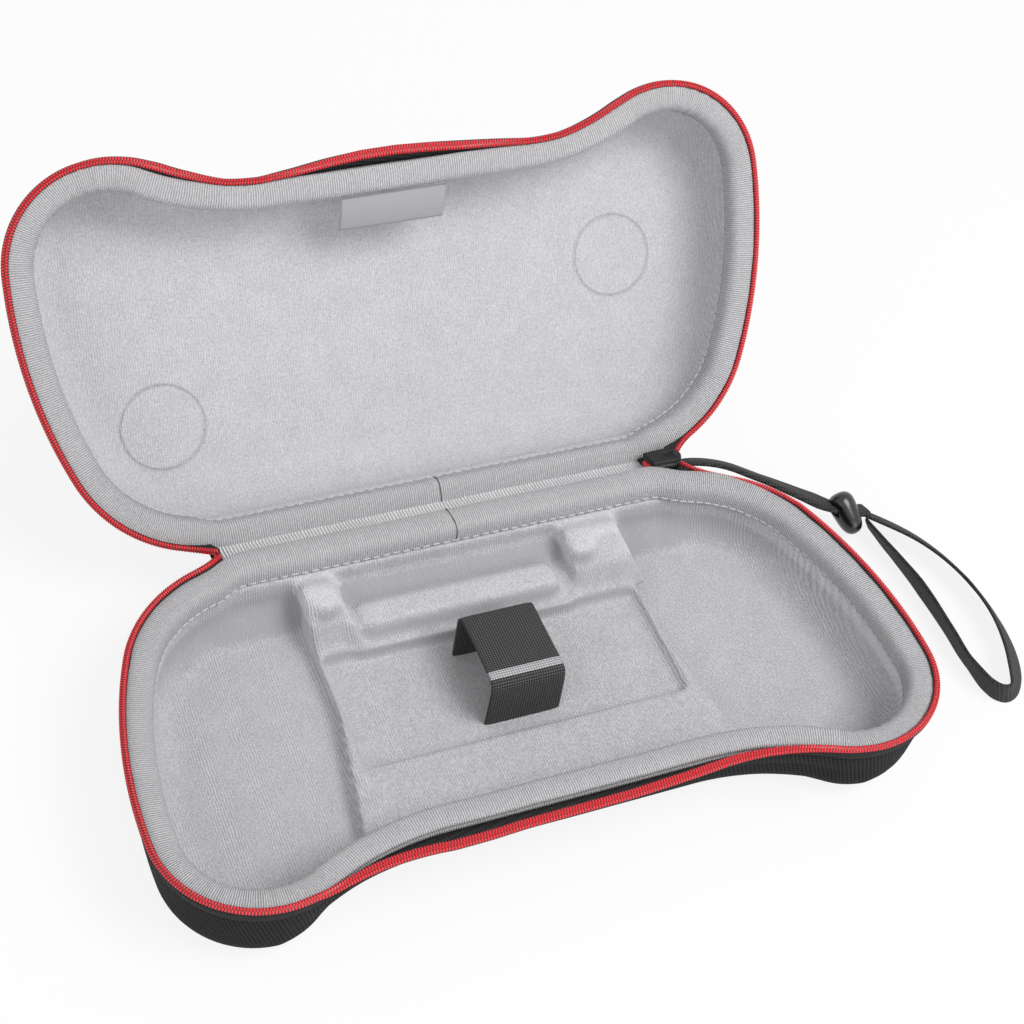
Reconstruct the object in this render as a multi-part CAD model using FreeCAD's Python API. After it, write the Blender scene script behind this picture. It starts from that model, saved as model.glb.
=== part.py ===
import FreeCAD, Part
import math
import os
from FreeCAD import Matrix, Placement, Rotation, Vector

# Zipped carrying case of moulded foam, open: a base with a moulded tray, and a lid that
# leans back on a fabric hinge. Millimetres. X runs along the case, +Y towards the hinge,
# +Z up. The origin is the middle of the base's resting face.

# Rim outline: the outer edge of the binding, shared by base and lid.
# Depths are measured from the straight hinge edge towards the front.
HALF_LENGTH = 120.0      # middle of the case to the end of a lobe
LOBE_RADIUS = 29.0       # the two front lobes
LOBE_DEPTH = 88.3        # hinge edge to the lobes' centres
WAIST_SETBACK = 11.8     # the waist lies this far behind the lobes' front
WAIST_RADIUS = 82.3      # hollow curve from the waist into a lobe
SIDE_RADIUS = 147.5      # slightly bowed ends
CORNER_RADIUS = 43.5     # the two corners beside the hinge
CORNER_X = 69.3          # centre of those corners

# Moulded shells
BASE_HEIGHT = 31.0       # resting face to the base's rim
LID_HEIGHT = 28.0        # lid's rim to its flat top
BASE_WALL = 3.4          # foam and nylon, pressed together
LID_WALL = 2.4
WALL_OUT = 0.6           # outer face of the wall, outside the rim outline
BASE_LEAN = 0.083        # how far a wall leans in for each millimetre down
LID_LEAN = 0.11
BASE_ROUND = 13.5        # bottom edge of the base
LID_ROUND = 18.0         # top edge of the lid
RIM_DROP = 4.6           # a wall's edge lies this far under the rim plane
CLEAR = 0.25             # between pieces laid in one another

# Binding: a padded strip sewn over the wall's edge
BINDING_WIDTH = 7.2
BINDING_HEIGHT = RIM_DROP - CLEAR
BINDING_ROUND = 2.0
BINDING_LEG = 2.4        # inner leg, over the lining's edge
BINDING_LEG_DROP = 3.2
STITCH = 0.5             # thread along the leg
STITCH_UP = 0.6          # thread over the leg's lower edge
STITCH_CLEAR = 0.1

# Lining of the lid, with two ring marks pressed into it
LINING = 1.0
MARK_RADIUS = 13.6
MARK_WIDTH = 1.2
MARK_GROOVE = 0.5
MARK_X = 78.5
MARK_DEPTHS = (33.0, 63.0)   # left and right mark, from the hinge edge

# Moulded tray in the base
TRAY_WALL = 3.0
TRAY_FLOOR = 4.4         # under the two grip pockets
TRAY_ROUND = 7.0
PLATFORM = 17.0          # platform between the pockets, under the rim plane
POCKET_ENDS = ((53.0, 0.0), (53.0, 48.0), (65.0, 120.0))  # inner end: x and depth
POCKET_ROUND = 9.0
LEDGE_X = (-38.0, 29.0)  # long block along the back wall
LEDGE_DEPTHS = (10.6, 22.5)
LEDGE_TOP = 12.6         # under the rim plane
LEDGE_ROUND = 3.5
POST_WIDTH = 9.0         # a short post beyond each end of the block
POST_GAP = 4.5
POST_DEPTHS = (9.0, 20.0)
POST_TOP = 6.0
CHANNEL_X = 52.0         # shallow channel for the bar that the band holds
CHANNEL_DEPTHS = (29.0, 71.0)
CHANNEL_DROP = 3.6

# Elastic band over the channel
BAND_WIDTH = 24.0
BAND_THICK = 1.3
BAND_DEPTHS = (36.0, 64.5)
BAND_TOPS = (3.4, 1.6)   # under the rim plane, at the back and at the front
BAND_BEND = 2.6
BAND_TUCK = 1.8          # each end sits this deep in its slit

# Zipper
ZIP_LOBE_OUT = 1.75      # middle of the coil outside the rim outline
ZIP_WAIST_OUT = 6.6      # the tape stands off further at the waist
ZIP_WAIST_RADIUS = 150.0
COIL_WIDTH = 3.0
COIL_LOW = 0.4           # coil's lower and upper face over the rim plane
COIL_HIGH = 3.0
TAPE_THICK = 0.8
TAPE_SKIRT = 6.0         # sewn down over the wall's outer face
ZIP_LEFT_X = -75.0       # where the chain starts beside the hinge
ZIP_RIGHT_X = 83.0
ZIP_MEET = 0.4           # between the two coils with the lid closed

# Hinge
LID_ANGLE = 123.7        # from closed to the photographed pose
HINGE_BACK = 13.8        # lid's hinge edge behind the base's, at rest
HINGE_DROP = 5.9         # and under it
HINGE_LEFT_X = -73.4
HINGE_RIGHT_X = 65.6
WEB_RIGHT_X = 82.0       # the black strip runs on under the slider
LINING_STRIP = 1.0       # ribbed grey strip inside
WEB_STRIP = 1.0          # black nylon strip outside
STRIP_LOW = 2.6          # the grey strip under the two rim planes
WEB_LOW = 9.0            # the black strip's edges under the two rim planes
STRIP_SAG = 1.6

# Slider, parked at the right end of the hinge
SLIDER_X = 75.0
SLIDER_LENGTH = 15.0
SLIDER_WIDTH = 9.6
PLATE_THICK = 1.2
CHANNEL_HEIGHT = 2.7
LIP_WIDTH = 0.9
LIP_DROP = 0.7
WEDGE_WIDTH = 3.0
WEDGE_LENGTH = 4.0
DOME_RADIUS = 2.0
BAIL_WIDTH = 6.4
BAIL_LENGTH = 3.0
BAIL_HEIGHT = 4.4
BAIL_BAR = 1.0
CHAIN_LENGTH = 7.0       # closed chain that enters the slider's back end
CHAIN_WIDTH = 6.0
CHAIN_CLEAR = 0.25
END_TAPE = 0.6           # tape that carries those teeth to the two bindings

# Woven label under the lid's front binding
LABEL_WIDTH = 34.0
LABEL_HANG = 11.5
LABEL_THICK = 0.6

# Wrist strap: flat webbing, doubled from the slider to the bead, then a loop on the table
STRAP_WIDTH = 10.0
STRAP_THICK = 1.2
LEAD_THICK = 2.6         # two layers
LEAD_END_WIDTH = 2.6     # gathered where it goes through the bail
LEAD_BEND = (106.0, 62.0, 20.6)
LEAD_END = (147.0, 43.2, 7.6)
LEAD_LEAN = 23.0         # degrees that its upper edge leans towards the hinge
LOOP_HEIGHT = 5.3        # middle of the webbing, which stands on its edge
LOOP_POINTS = ((148.65, 43.2), (156.5, 35.0), (163.6, 23.5), (167.6, 9.5), (168.2, -4.5),
               (165.6, -18.5), (160.0, -31.0), (153.6, -39.5), (149.0, -36.0),
               (148.6, -23.0), (149.6, -8.0), (149.4, 8.0), (147.4, 22.5), (145.9, 34.0),
               (148.0, 41.7))
BEAD_PLACE = 7.5         # bead's middle back from the lead's end
BEAD_RADIUS = 4.6
BEAD_LENGTH = 15.0
BEAD_ROUND = 3.0
BEAD_SLOT = (3.4, 11.0)

DEPTH = LOBE_DEPTH + LOBE_RADIUS
WAIST_DEPTH = DEPTH - WAIST_SETBACK
MIDDLE = DEPTH / 2.0
X_AXIS = Vector(1, 0, 0)
Y_AXIS = Vector(0, 1, 0)
Z_AXIS = Vector(0, 0, 1)
PARTS_FOLDER = "parts"


def point_between(centre, towards, distance):
    """Point at a distance from centre along the line to another centre."""
    gap_x = towards[0] - centre[0]
    gap_y = towards[1] - centre[1]
    share = distance / math.hypot(gap_x, gap_y)
    return (centre[0] + gap_x * share, centre[1] + gap_y * share)


def side_centre(lobe, corner):
    """Centre of the bowed end, which is tangent to a lobe and a hinge corner."""
    to_lobe = SIDE_RADIUS - LOBE_RADIUS
    to_corner = SIDE_RADIUS - CORNER_RADIUS
    gap = math.hypot(corner[0] - lobe[0], corner[1] - lobe[1])
    along = (to_lobe ** 2 - to_corner ** 2 + gap ** 2) / (2.0 * gap)
    across = math.sqrt(to_lobe ** 2 - along ** 2)
    unit_x = (corner[0] - lobe[0]) / gap
    unit_y = (corner[1] - lobe[1]) / gap
    return (lobe[0] + unit_x * along + unit_y * across,
            lobe[1] + unit_y * along - unit_x * across)


def rim_wire(grow, z, side, waist_out=0.0, waist_radius=WAIST_RADIUS):
    """Closed rim outline moved outwards by grow, at height z.

    side is -1 where the front lies towards -Y, as in the base, and +1 in the lid.
    waist_out carries the waist forward, as the zipper does.
    """
    lobe = (HALF_LENGTH - LOBE_RADIUS, LOBE_DEPTH)
    corner = (CORNER_X, CORNER_RADIUS)
    waist_depth = WAIST_DEPTH + waist_out
    reach = waist_radius + LOBE_RADIUS
    hollow_depth = waist_depth + waist_radius
    hollow = (lobe[0] - math.sqrt(reach ** 2 - (hollow_depth - LOBE_DEPTH) ** 2), hollow_depth)
    bow = side_centre(lobe, corner)
    joins = [
        (hollow[0], waist_depth + grow),
        point_between(lobe, hollow, LOBE_RADIUS + grow),
        point_between(bow, lobe, SIDE_RADIUS + grow),
        point_between(bow, corner, SIDE_RADIUS + grow),
        (corner[0], -grow),
    ]
    circles = [(hollow, waist_radius - grow), (lobe, LOBE_RADIUS + grow),
               (bow, SIDE_RADIUS + grow), (corner, CORNER_RADIUS + grow)]
    edges = []
    for mirror in (1.0, -1.0):
        for number, (centre, radius) in enumerate(circles):
            start = joins[number]
            end = joins[number + 1]
            half = ((start[0] + end[0]) / 2.0, (start[1] + end[1]) / 2.0)
            crown = point_between(centre, half, radius)
            spots = [Vector(mirror * spot[0], side * spot[1], z) for spot in (start, crown, end)]
            edges.append(Part.Arc(spots[0], spots[1], spots[2]).toShape())
        first = joins[0] if mirror > 0 else joins[-1]
        edges.append(Part.makeLine(Vector(-mirror * first[0], side * first[1], z),
                                   Vector(mirror * first[0], side * first[1], z)))
    return Part.Wire(Part.__sortEdges__(edges))


def rim_prism(grow, low, high, side, waist_out=0.0, waist_radius=WAIST_RADIUS):
    """Upright solid inside a rim outline."""
    face = Part.Face(rim_wire(grow, low, side, waist_out, waist_radius))
    return face.extrude(Vector(0, 0, high - low))


def edges_at(shape, z):
    """Edges that lie wholly at one height."""
    return [edge for edge in shape.Edges
            if all(abs(vertex.Point.z - z) < 1e-4 for vertex in edge.Vertexes)]


def bowl_block(grow, lean, top, bottom, rounding, side):
    """Round-bottomed block with leaning walls: the inside or outside of a moulded shell.

    grow is where the wall would be at the height of the shell's edge.
    """
    upper = rim_wire(grow + lean * (top + RIM_DROP), top, side)
    lower = rim_wire(grow + lean * (bottom + RIM_DROP), bottom, side)
    block = Part.makeLoft([upper, lower], True, True)
    return block.makeFillet(rounding, edges_at(block, bottom))


def box(low, high):
    """Box between two corners given as (x, y, z)."""
    size = [high[axis] - low[axis] for axis in range(3)]
    return Part.makeBox(size[0], size[1], size[2], Vector(low[0], low[1], low[2]))


def rounded_block(low, high, upright_radius, top_radius):
    """Box with round upright edges and a round top edge."""
    block = box(low, high)
    upright = [edge for edge in block.Edges
               if abs(edge.Vertexes[0].Point.z - edge.Vertexes[1].Point.z) > 1e-4]
    block = block.makeFillet(upright_radius, upright)
    return block.makeFillet(top_radius, edges_at(block, high[2]))


def shell(height, wall, lean, rounding, side):
    """Moulded shell of even wall, open at the rim."""
    outer = bowl_block(WALL_OUT, lean, -RIM_DROP, -height, rounding, side)
    inner = bowl_block(WALL_OUT - wall, lean, -RIM_DROP, wall - height, rounding - wall, side)
    return outer.cut(inner)


def binding(side):
    """Rounded strip that caps the wall's edge, with a leg down the inside."""
    cap = rim_prism(0.0, -BINDING_HEIGHT, 0.0, side)
    cap = cap.cut(rim_prism(-BINDING_WIDTH, -BINDING_HEIGHT, 0.0, side))
    cap = cap.makeFillet(BINDING_ROUND, edges_at(cap, 0.0))
    leg_low = -BINDING_HEIGHT - BINDING_LEG_DROP
    leg = rim_prism(BINDING_LEG - BINDING_WIDTH, leg_low, -BINDING_HEIGHT, side)
    leg = leg.cut(rim_prism(-BINDING_WIDTH, leg_low, -BINDING_HEIGHT, side))
    return cap.fuse(leg).removeSplitter()


def stitching(side):
    """Thread round the leg of the binding, just over its lower edge."""
    low = STITCH_UP - BINDING_HEIGHT - BINDING_LEG_DROP
    outside = -BINDING_WIDTH - STITCH_CLEAR
    ring = rim_prism(outside, low, low + STITCH, side)
    return ring.cut(rim_prism(outside - STITCH, low, low + STITCH, side))


def hinge_gap(low, high, side):
    """Block that clears the chain away along the hinge."""
    corner = DEPTH / 2.0
    return box((ZIP_LEFT_X, min(-side * corner, side * 10.0), low),
               (ZIP_RIGHT_X, max(-side * corner, side * 10.0), high))


def zip_block(offset, low, high, side):
    """Solid inside the zipper's own line, moved outwards by offset."""
    return rim_prism(ZIP_LOBE_OUT + offset, low, high, side,
                     ZIP_WAIST_OUT - ZIP_LOBE_OUT, ZIP_WAIST_RADIUS)


def zipper_coil(side):
    """Coil along the rim, from one end of the hinge round to the other."""
    ring = zip_block(COIL_WIDTH / 2.0, COIL_LOW, COIL_HIGH, side)
    ring = ring.cut(zip_block(-COIL_WIDTH / 2.0, COIL_LOW, COIL_HIGH, side))
    ring = ring.makeFillet(COIL_WIDTH / 4.0, edges_at(ring, COIL_HIGH))
    return ring.cut(hinge_gap(COIL_LOW, COIL_HIGH, side))


def zipper_tape(side):
    """Tape: a skirt sewn to the wall and a web out to the coil."""
    inner = WALL_OUT + CLEAR
    top = COIL_LOW
    web = zip_block(COIL_WIDTH / 2.0 - CLEAR, top - TAPE_THICK, top, side)
    skirt = rim_prism(inner + TAPE_THICK, -RIM_DROP - TAPE_SKIRT, top, side)
    tape = web.fuse(skirt)
    low = -RIM_DROP - TAPE_SKIRT
    tape = tape.cut(rim_prism(inner, low, top, side))
    return tape.cut(hinge_gap(low, top, side)).removeSplitter()


def pocket_zone(end, low, high):
    """Prism over the grip pocket at one end of the case; end is -1 or +1."""
    spots = [(end * x, -depth) for x, depth in POCKET_ENDS]
    spots += [(end * DEPTH, -POCKET_ENDS[-1][1]), (end * DEPTH, 0.0)]
    points = [Vector(x, y, low) for x, y in spots + spots[:1]]
    return Part.Face(Part.makePolygon(points)).extrude(Vector(0, 0, high - low))


def tray():
    """Moulded tray that fills the base: two grip pockets and a platform between them."""
    lower = BASE_WALL + CLEAR - BASE_HEIGHT
    upper = -BINDING_HEIGHT - BINDING_LEG_DROP - CLEAR
    outside = WALL_OUT - BASE_WALL - CLEAR
    body = bowl_block(outside, BASE_LEAN, upper, lower, BASE_ROUND - BASE_WALL, -1)
    inside = outside - TRAY_WALL
    body = body.cut(bowl_block(inside, BASE_LEAN, upper, -PLATFORM, TRAY_ROUND, -1))
    floor = lower + TRAY_FLOOR
    mouth = TRAY_ROUND - PLATFORM
    deep = bowl_block(inside, BASE_LEAN, mouth, floor, POCKET_ROUND, -1)
    for end in (-1.0, 1.0):
        body = body.cut(deep.common(pocket_zone(end, floor, mouth)))
    channel = box((-CHANNEL_X, -CHANNEL_DEPTHS[1], -PLATFORM - CHANNEL_DROP),
                  (CHANNEL_X, -CHANNEL_DEPTHS[0], -PLATFORM))
    body = body.cut(channel)
    ledge = rounded_block((LEDGE_X[0], -LEDGE_DEPTHS[1], -PLATFORM - 1.0),
                          (LEDGE_X[1], -LEDGE_DEPTHS[0], -LEDGE_TOP),
                          LEDGE_ROUND, LEDGE_ROUND - 1.0)
    body = body.fuse(ledge)
    for start in (LEDGE_X[0] - POST_GAP - POST_WIDTH, LEDGE_X[1] + POST_GAP):
        post = rounded_block((start, -POST_DEPTHS[1], -PLATFORM - 1.0),
                             (start + POST_WIDTH, -POST_DEPTHS[0], -POST_TOP - CLEAR),
                             LEDGE_ROUND, LEDGE_ROUND - 1.0)
        body = body.fuse(post)
    return body.cut(band_slits()).removeSplitter()


def band_slits():
    """Two slits in the channel's floor that hold the band's ends."""
    floor = -PLATFORM - CHANNEL_DROP
    half = BAND_WIDTH / 2.0 + CLEAR
    slits = []
    for depth, outwards in ((BAND_DEPTHS[0], 1.0), (BAND_DEPTHS[1], -1.0)):
        near = -depth - outwards * (BAND_THICK + CLEAR)
        far = -depth + outwards * CLEAR
        slits.append(box((-half, min(near, far), floor - BAND_TUCK - CLEAR),
                         (half, max(near, far), floor)))
    return slits[0].fuse(slits[1])


def elastic_band():
    """Elastic band that stands over the channel as it does round the bar it holds."""
    foot = -PLATFORM - CHANNEL_DROP - BAND_TUCK
    back = -BAND_DEPTHS[0]
    front = -BAND_DEPTHS[1]
    outline = [(back, foot), (back, -BAND_TOPS[0]), (front, -BAND_TOPS[1]), (front, foot),
               (front + BAND_THICK, foot), (front + BAND_THICK, -BAND_TOPS[1] - BAND_THICK),
               (back - BAND_THICK, -BAND_TOPS[0] - BAND_THICK), (back - BAND_THICK, foot)]
    half = BAND_WIDTH / 2.0
    points = [Vector(-half, y, z) for y, z in outline + outline[:1]]
    band = Part.Face(Part.makePolygon(points)).extrude(Vector(BAND_WIDTH, 0, 0))
    outer = []
    inner = []
    for edge in band.Edges:
        middle = edge.CenterOfMass
        along_x = abs(edge.Vertexes[0].Point.x - edge.Vertexes[1].Point.x) > 1.0
        if not along_x or middle.z < -BAND_TOPS[0] - 2.0 * BAND_THICK:
            continue
        is_inner = back - middle.y > BAND_THICK / 2.0 and middle.y - front > BAND_THICK / 2.0
        (inner if is_inner else outer).append(edge)
    band = band.makeFillet(BAND_BEND, outer)
    inner = [edge for edge in band.Edges
             if any(edge.CenterOfMass.distanceToPoint(old.CenterOfMass) < 1e-3 for old in inner)]
    return band.makeFillet(BAND_BEND - BAND_THICK, inner)


def base_place(shape):
    """Move a shape from the base's rim frame to the part's frame."""
    moved = shape.copy()
    moved.translate(Vector(0, MIDDLE, BASE_HEIGHT))
    return moved


def lid_place(shape):
    """Move a shape from the lid's rim frame to the photographed open pose."""
    moved = shape.copy()
    moved.rotate(Vector(0, 0, 0), X_AXIS, 180.0 - LID_ANGLE)
    moved.translate(Vector(0, MIDDLE + HINGE_BACK, BASE_HEIGHT - HINGE_DROP))
    return moved


def lid_point(depth, out):
    """Point of the YZ plane that lies depth from the lid's hinge edge, out from its rim."""
    tilt = math.radians(180.0 - LID_ANGLE)
    y = MIDDLE + HINGE_BACK + depth * math.cos(tilt) + out * math.sin(tilt)
    z = BASE_HEIGHT - HINGE_DROP + depth * math.sin(tilt) - out * math.cos(tilt)
    return (y, z)


def hinge_axis():
    """Where the fabric folds: the lid turns about this line onto the base."""
    open_edge = (HINGE_BACK, -HINGE_DROP)
    closed_edge = (0.0, 2.0 * COIL_HIGH + ZIP_MEET)
    gap_y = closed_edge[0] - open_edge[0]
    gap_z = closed_edge[1] - open_edge[1]
    reach = 0.5 / math.tan(math.radians(LID_ANGLE) / 2.0)
    y = (open_edge[0] + closed_edge[0]) / 2.0 - gap_z * reach
    z = (open_edge[1] + closed_edge[1]) / 2.0 + gap_y * reach
    return (MIDDLE + y, BASE_HEIGHT + z)


def hinge_strip(start, end, thick, sag, low_x, high_x):
    """Strip of cloth between two points of the YZ plane, hanging a little between them."""
    middle = ((start[0] + end[0]) / 2.0, (start[1] + end[1]) / 2.0 - sag)
    upper = Part.Arc(Vector(low_x, start[0], start[1]), Vector(low_x, middle[0], middle[1]),
                     Vector(low_x, end[0], end[1])).toShape()
    lower = upper.copy()
    lower.translate(Vector(0, 0, -thick))
    sides = [Part.makeLine(upper.Vertexes[number].Point, lower.Vertexes[number].Point)
             for number in (0, 1)]
    wire = Part.Wire(Part.__sortEdges__([upper, lower] + sides))
    return Part.Face(wire).extrude(Vector(high_x - low_x, 0, 0))


def hinge_lining():
    start = (MIDDLE + CLEAR, BASE_HEIGHT - STRIP_LOW)
    end = lid_point(-CLEAR, STRIP_LOW)
    return hinge_strip(start, end, LINING_STRIP, STRIP_SAG, HINGE_LEFT_X, HINGE_RIGHT_X)


def hinge_web():
    out = WALL_OUT + CLEAR
    start = (MIDDLE + out, BASE_HEIGHT - WEB_LOW)
    end = lid_point(-out - CLEAR, WEB_LOW)
    return hinge_strip(start, end, WEB_STRIP, STRIP_SAG, HINGE_LEFT_X, WEB_RIGHT_X)


def slider_placement():
    """Slider's own frame: x along the chain, z out of its inner plate."""
    tilt = -math.degrees(math.atan2(HINGE_DROP, HINGE_BACK))
    return Placement(Vector(SLIDER_X, MIDDLE + HINGE_BACK / 2.0, BASE_HEIGHT - HINGE_DROP / 2.0),
                     Rotation(X_AXIS, tilt))


def slider_plate(low, high):
    """Plate with a square back end and a round front end."""
    half_width = SLIDER_WIDTH / 2.0
    back = -SLIDER_LENGTH / 2.0
    front = SLIDER_LENGTH / 2.0
    turn = front - half_width
    corners = [Vector(turn, half_width, low), Vector(back, half_width * 0.9, low),
               Vector(back, -half_width * 0.9, low), Vector(turn, -half_width, low)]
    edges = [Part.makeLine(corners[number], corners[number + 1]) for number in range(3)]
    edges.append(Part.Arc(corners[3], Vector(front, 0, low), corners[0]).toShape())
    return Part.Face(Part.Wire(edges)).extrude(Vector(0, 0, high - low))


def slider():
    """Slider body: two plates, lips along their sides, a wedge, a dome and the bail."""
    half = CHANNEL_HEIGHT / 2.0
    top = half + PLATE_THICK
    body = slider_plate(half, top)
    body = body.makeFillet(PLATE_THICK * 0.4, edges_at(body, top))
    body = body.fuse(slider_plate(-top, -half))
    front = SLIDER_LENGTH / 2.0
    side_y = SLIDER_WIDTH / 2.0 * 0.9
    for direction in (-1.0, 1.0):
        inner_y = direction * (side_y - LIP_WIDTH)
        for low, high in ((half - LIP_DROP, half), (-half, LIP_DROP - half)):
            body = body.fuse(box((-front, min(inner_y, direction * side_y), low),
                                 (0.0, max(inner_y, direction * side_y), high)))
    wedge = rounded_block((front - WEDGE_LENGTH, -WEDGE_WIDTH / 2.0, -half),
                          (front - PLATE_THICK / 2.0, WEDGE_WIDTH / 2.0, half),
                          WEDGE_WIDTH * 0.3, 0.2)
    body = body.fuse(wedge)
    dome = Part.makeSphere(DOME_RADIUS, Vector(front - 1.6 * DOME_RADIUS, 0, top - DOME_RADIUS / 2.0))
    keep = box((0.0, -front, half), (front, front, top + DOME_RADIUS))
    body = body.fuse(dome.common(keep))
    bail = box((-BAIL_LENGTH / 2.0, -BAIL_WIDTH / 2.0, -top - BAIL_HEIGHT),
               (BAIL_LENGTH / 2.0, BAIL_WIDTH / 2.0, -top))
    bail = bail.cut(box((-BAIL_LENGTH, BAIL_BAR - BAIL_WIDTH / 2.0, BAIL_BAR - top - BAIL_HEIGHT),
                        (BAIL_LENGTH, BAIL_WIDTH / 2.0 - BAIL_BAR, -top)))
    return body.fuse(bail).removeSplitter()


def closed_chain():
    """Last joined teeth in the slider's back end, on their two tapes."""
    half = CHANNEL_HEIGHT / 2.0 - CHAIN_CLEAR
    start = HINGE_RIGHT_X + CLEAR - SLIDER_X
    chain = box((start, -CHAIN_WIDTH / 2.0, -half),
                (start + CHAIN_LENGTH, CHAIN_WIDTH / 2.0, half))
    place = slider_placement()
    out = CLEAR + END_TAPE
    base_side = Vector(SLIDER_X, MIDDLE + out, BASE_HEIGHT - BINDING_HEIGHT / 2.0)
    lid_side = Vector(SLIDER_X, *lid_point(-out, BINDING_HEIGHT / 2.0))
    for wall_point, direction in ((base_side, -1.0), (lid_side, 1.0)):
        wall = place.inverse().multVec(wall_point)
        bend = direction * (SLIDER_WIDTH / 2.0 + CLEAR)
        root = direction * CHAIN_WIDTH / 2.0
        outline = [(root, END_TAPE / 2.0), (bend, END_TAPE / 2.0), (wall.y, wall.z + END_TAPE),
                   (wall.y, wall.z), (bend, -END_TAPE / 2.0), (root, -END_TAPE / 2.0)]
        points = [Vector(start, y, z) for y, z in outline + outline[:1]]
        tape = Part.Face(Part.makePolygon(points)).extrude(Vector(CHAIN_LENGTH, 0, 0))
        chain = chain.fuse(tape)
    return chain.removeSplitter()


def label():
    """Label sewn under the front binding, hanging straight down."""
    tilt = math.radians(180.0 - LID_ANGLE)
    depth = WAIST_DEPTH - BINDING_WIDTH - CLEAR - LABEL_THICK
    low_y = depth - LABEL_HANG * math.sin(tilt)
    low_z = -BINDING_HEIGHT / 2.0 - LABEL_HANG * math.cos(tilt)
    top = Vector(-LABEL_WIDTH / 2.0, depth, -BINDING_HEIGHT / 2.0)
    foot = Vector(-LABEL_WIDTH / 2.0, low_y, low_z)
    across = Vector(0, math.cos(tilt), -math.sin(tilt)) * LABEL_THICK
    wire = Part.makePolygon([top, foot, foot + across, top + across, top])
    return Part.Face(wire).extrude(Vector(LABEL_WIDTH, 0, 0))


def lead_placement():
    """Frame of the lead's straight run: x along it, z across the webbing."""
    run = Vector(*LEAD_END) - Vector(*LEAD_BEND)
    run.normalize()
    upright = Z_AXIS - run * run.z
    upright.normalize()
    beside = upright.cross(run)
    lean = math.radians(LEAD_LEAN)
    across = upright * math.cos(lean) + beside * math.sin(lean)
    level = across.cross(run)
    origin = Vector(*LEAD_END)
    matrix = Matrix(run.x, level.x, across.x, origin.x,
                    run.y, level.y, across.y, origin.y,
                    run.z, level.z, across.z, origin.z, 0, 0, 0, 1)
    return Placement(matrix)


def strap_exit():
    """Middle of the bail's opening, where the strap leaves the slider."""
    top = CHANNEL_HEIGHT / 2.0 + PLATE_THICK
    return slider_placement().multVec(Vector(0, 0, -top - (BAIL_HEIGHT - BAIL_BAR) / 2.0))


def ribbon_path(points, bend_share=0.45):
    """Straight runs joined by tangent arcs, through points of one plane."""
    spots = [Vector(*point) for point in points]
    edges = []
    radii = []
    last = spots[0]
    for before, corner, after in zip(spots, spots[1:], spots[2:]):
        into = corner - before
        out = after - corner
        turn = into.getAngle(out)
        cut = bend_share * min(into.Length, out.Length)
        radius = cut / math.tan(turn / 2.0)
        radii.append(radius)
        into.normalize()
        out.normalize()
        start = corner - into * cut
        end = corner + out * cut
        inward = out - into
        inward.normalize()
        crown = corner + inward * (radius / math.cos(turn / 2.0) - radius)
        edges.append(Part.makeLine(last, start))
        edges.append(Part.Arc(start, crown, end).toShape())
        last = end
    edges.append(Part.makeLine(last, spots[-1]))
    return Part.Wire(edges), radii


def strap_lead():
    """Doubled webbing from the bail to just past the bead."""
    place = lead_placement()
    local_exit = place.inverse().multVec(strap_exit())
    bend = place.inverse().multVec(Vector(*LEAD_BEND))
    half = LEAD_THICK / 2.0
    wide = STRAP_WIDTH / 2.0
    narrow = LEAD_END_WIDTH / 2.0
    plan = [Vector(local_exit.x, local_exit.y + half, -wide - DEPTH),
            Vector(bend.x, half, -wide - DEPTH), Vector(0, half, -wide - DEPTH),
            Vector(0, -half, -wide - DEPTH), Vector(bend.x, -half, -wide - DEPTH),
            Vector(local_exit.x, local_exit.y - half, -wide - DEPTH)]
    seen_from_above = Part.Face(Part.makePolygon(plan + plan[:1])).extrude(Vector(0, 0, 2.0 * DEPTH))
    profile = [Vector(local_exit.x, -DEPTH, local_exit.z - narrow), Vector(bend.x, -DEPTH, -wide),
               Vector(0, -DEPTH, -wide), Vector(0, -DEPTH, wide), Vector(bend.x, -DEPTH, wide),
               Vector(local_exit.x, -DEPTH, local_exit.z + narrow)]
    seen_from_side = Part.Face(Part.makePolygon(profile + profile[:1])).extrude(
        Vector(0, 2.0 * DEPTH, 0))
    ribbon = seen_from_above.common(seen_from_side)
    ribbon.Placement = place.multiply(ribbon.Placement)
    return ribbon


def strap_loop():
    """Single webbing, standing on its edge on the table, out from the bead and back."""
    low = LOOP_HEIGHT - STRAP_WIDTH / 2.0
    path, radii = ribbon_path([(x, y, low) for x, y in LOOP_POINTS])
    print("strap loop: length %.0f mm, radii %s" % (
        path.Length, " ".join("%.0f" % radius for radius in radii)))
    start = path.OrderedEdges[0]
    heading = start.tangentAt(start.FirstParameter)
    beside = Vector(-heading.y, heading.x, 0) * (STRAP_THICK / 2.0)
    first = path.OrderedVertexes[0].Point
    profile = Part.makePolygon([first - beside, first + beside,
                                first + beside + Z_AXIS * STRAP_WIDTH,
                                first - beside + Z_AXIS * STRAP_WIDTH, first - beside])
    pipe = path.makePipeShell([profile], True, False, 1)
    print("strap loop: volume %.0f against %.0f mm3" % (
        pipe.Volume, path.Length * STRAP_THICK * STRAP_WIDTH))
    return pipe


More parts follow.
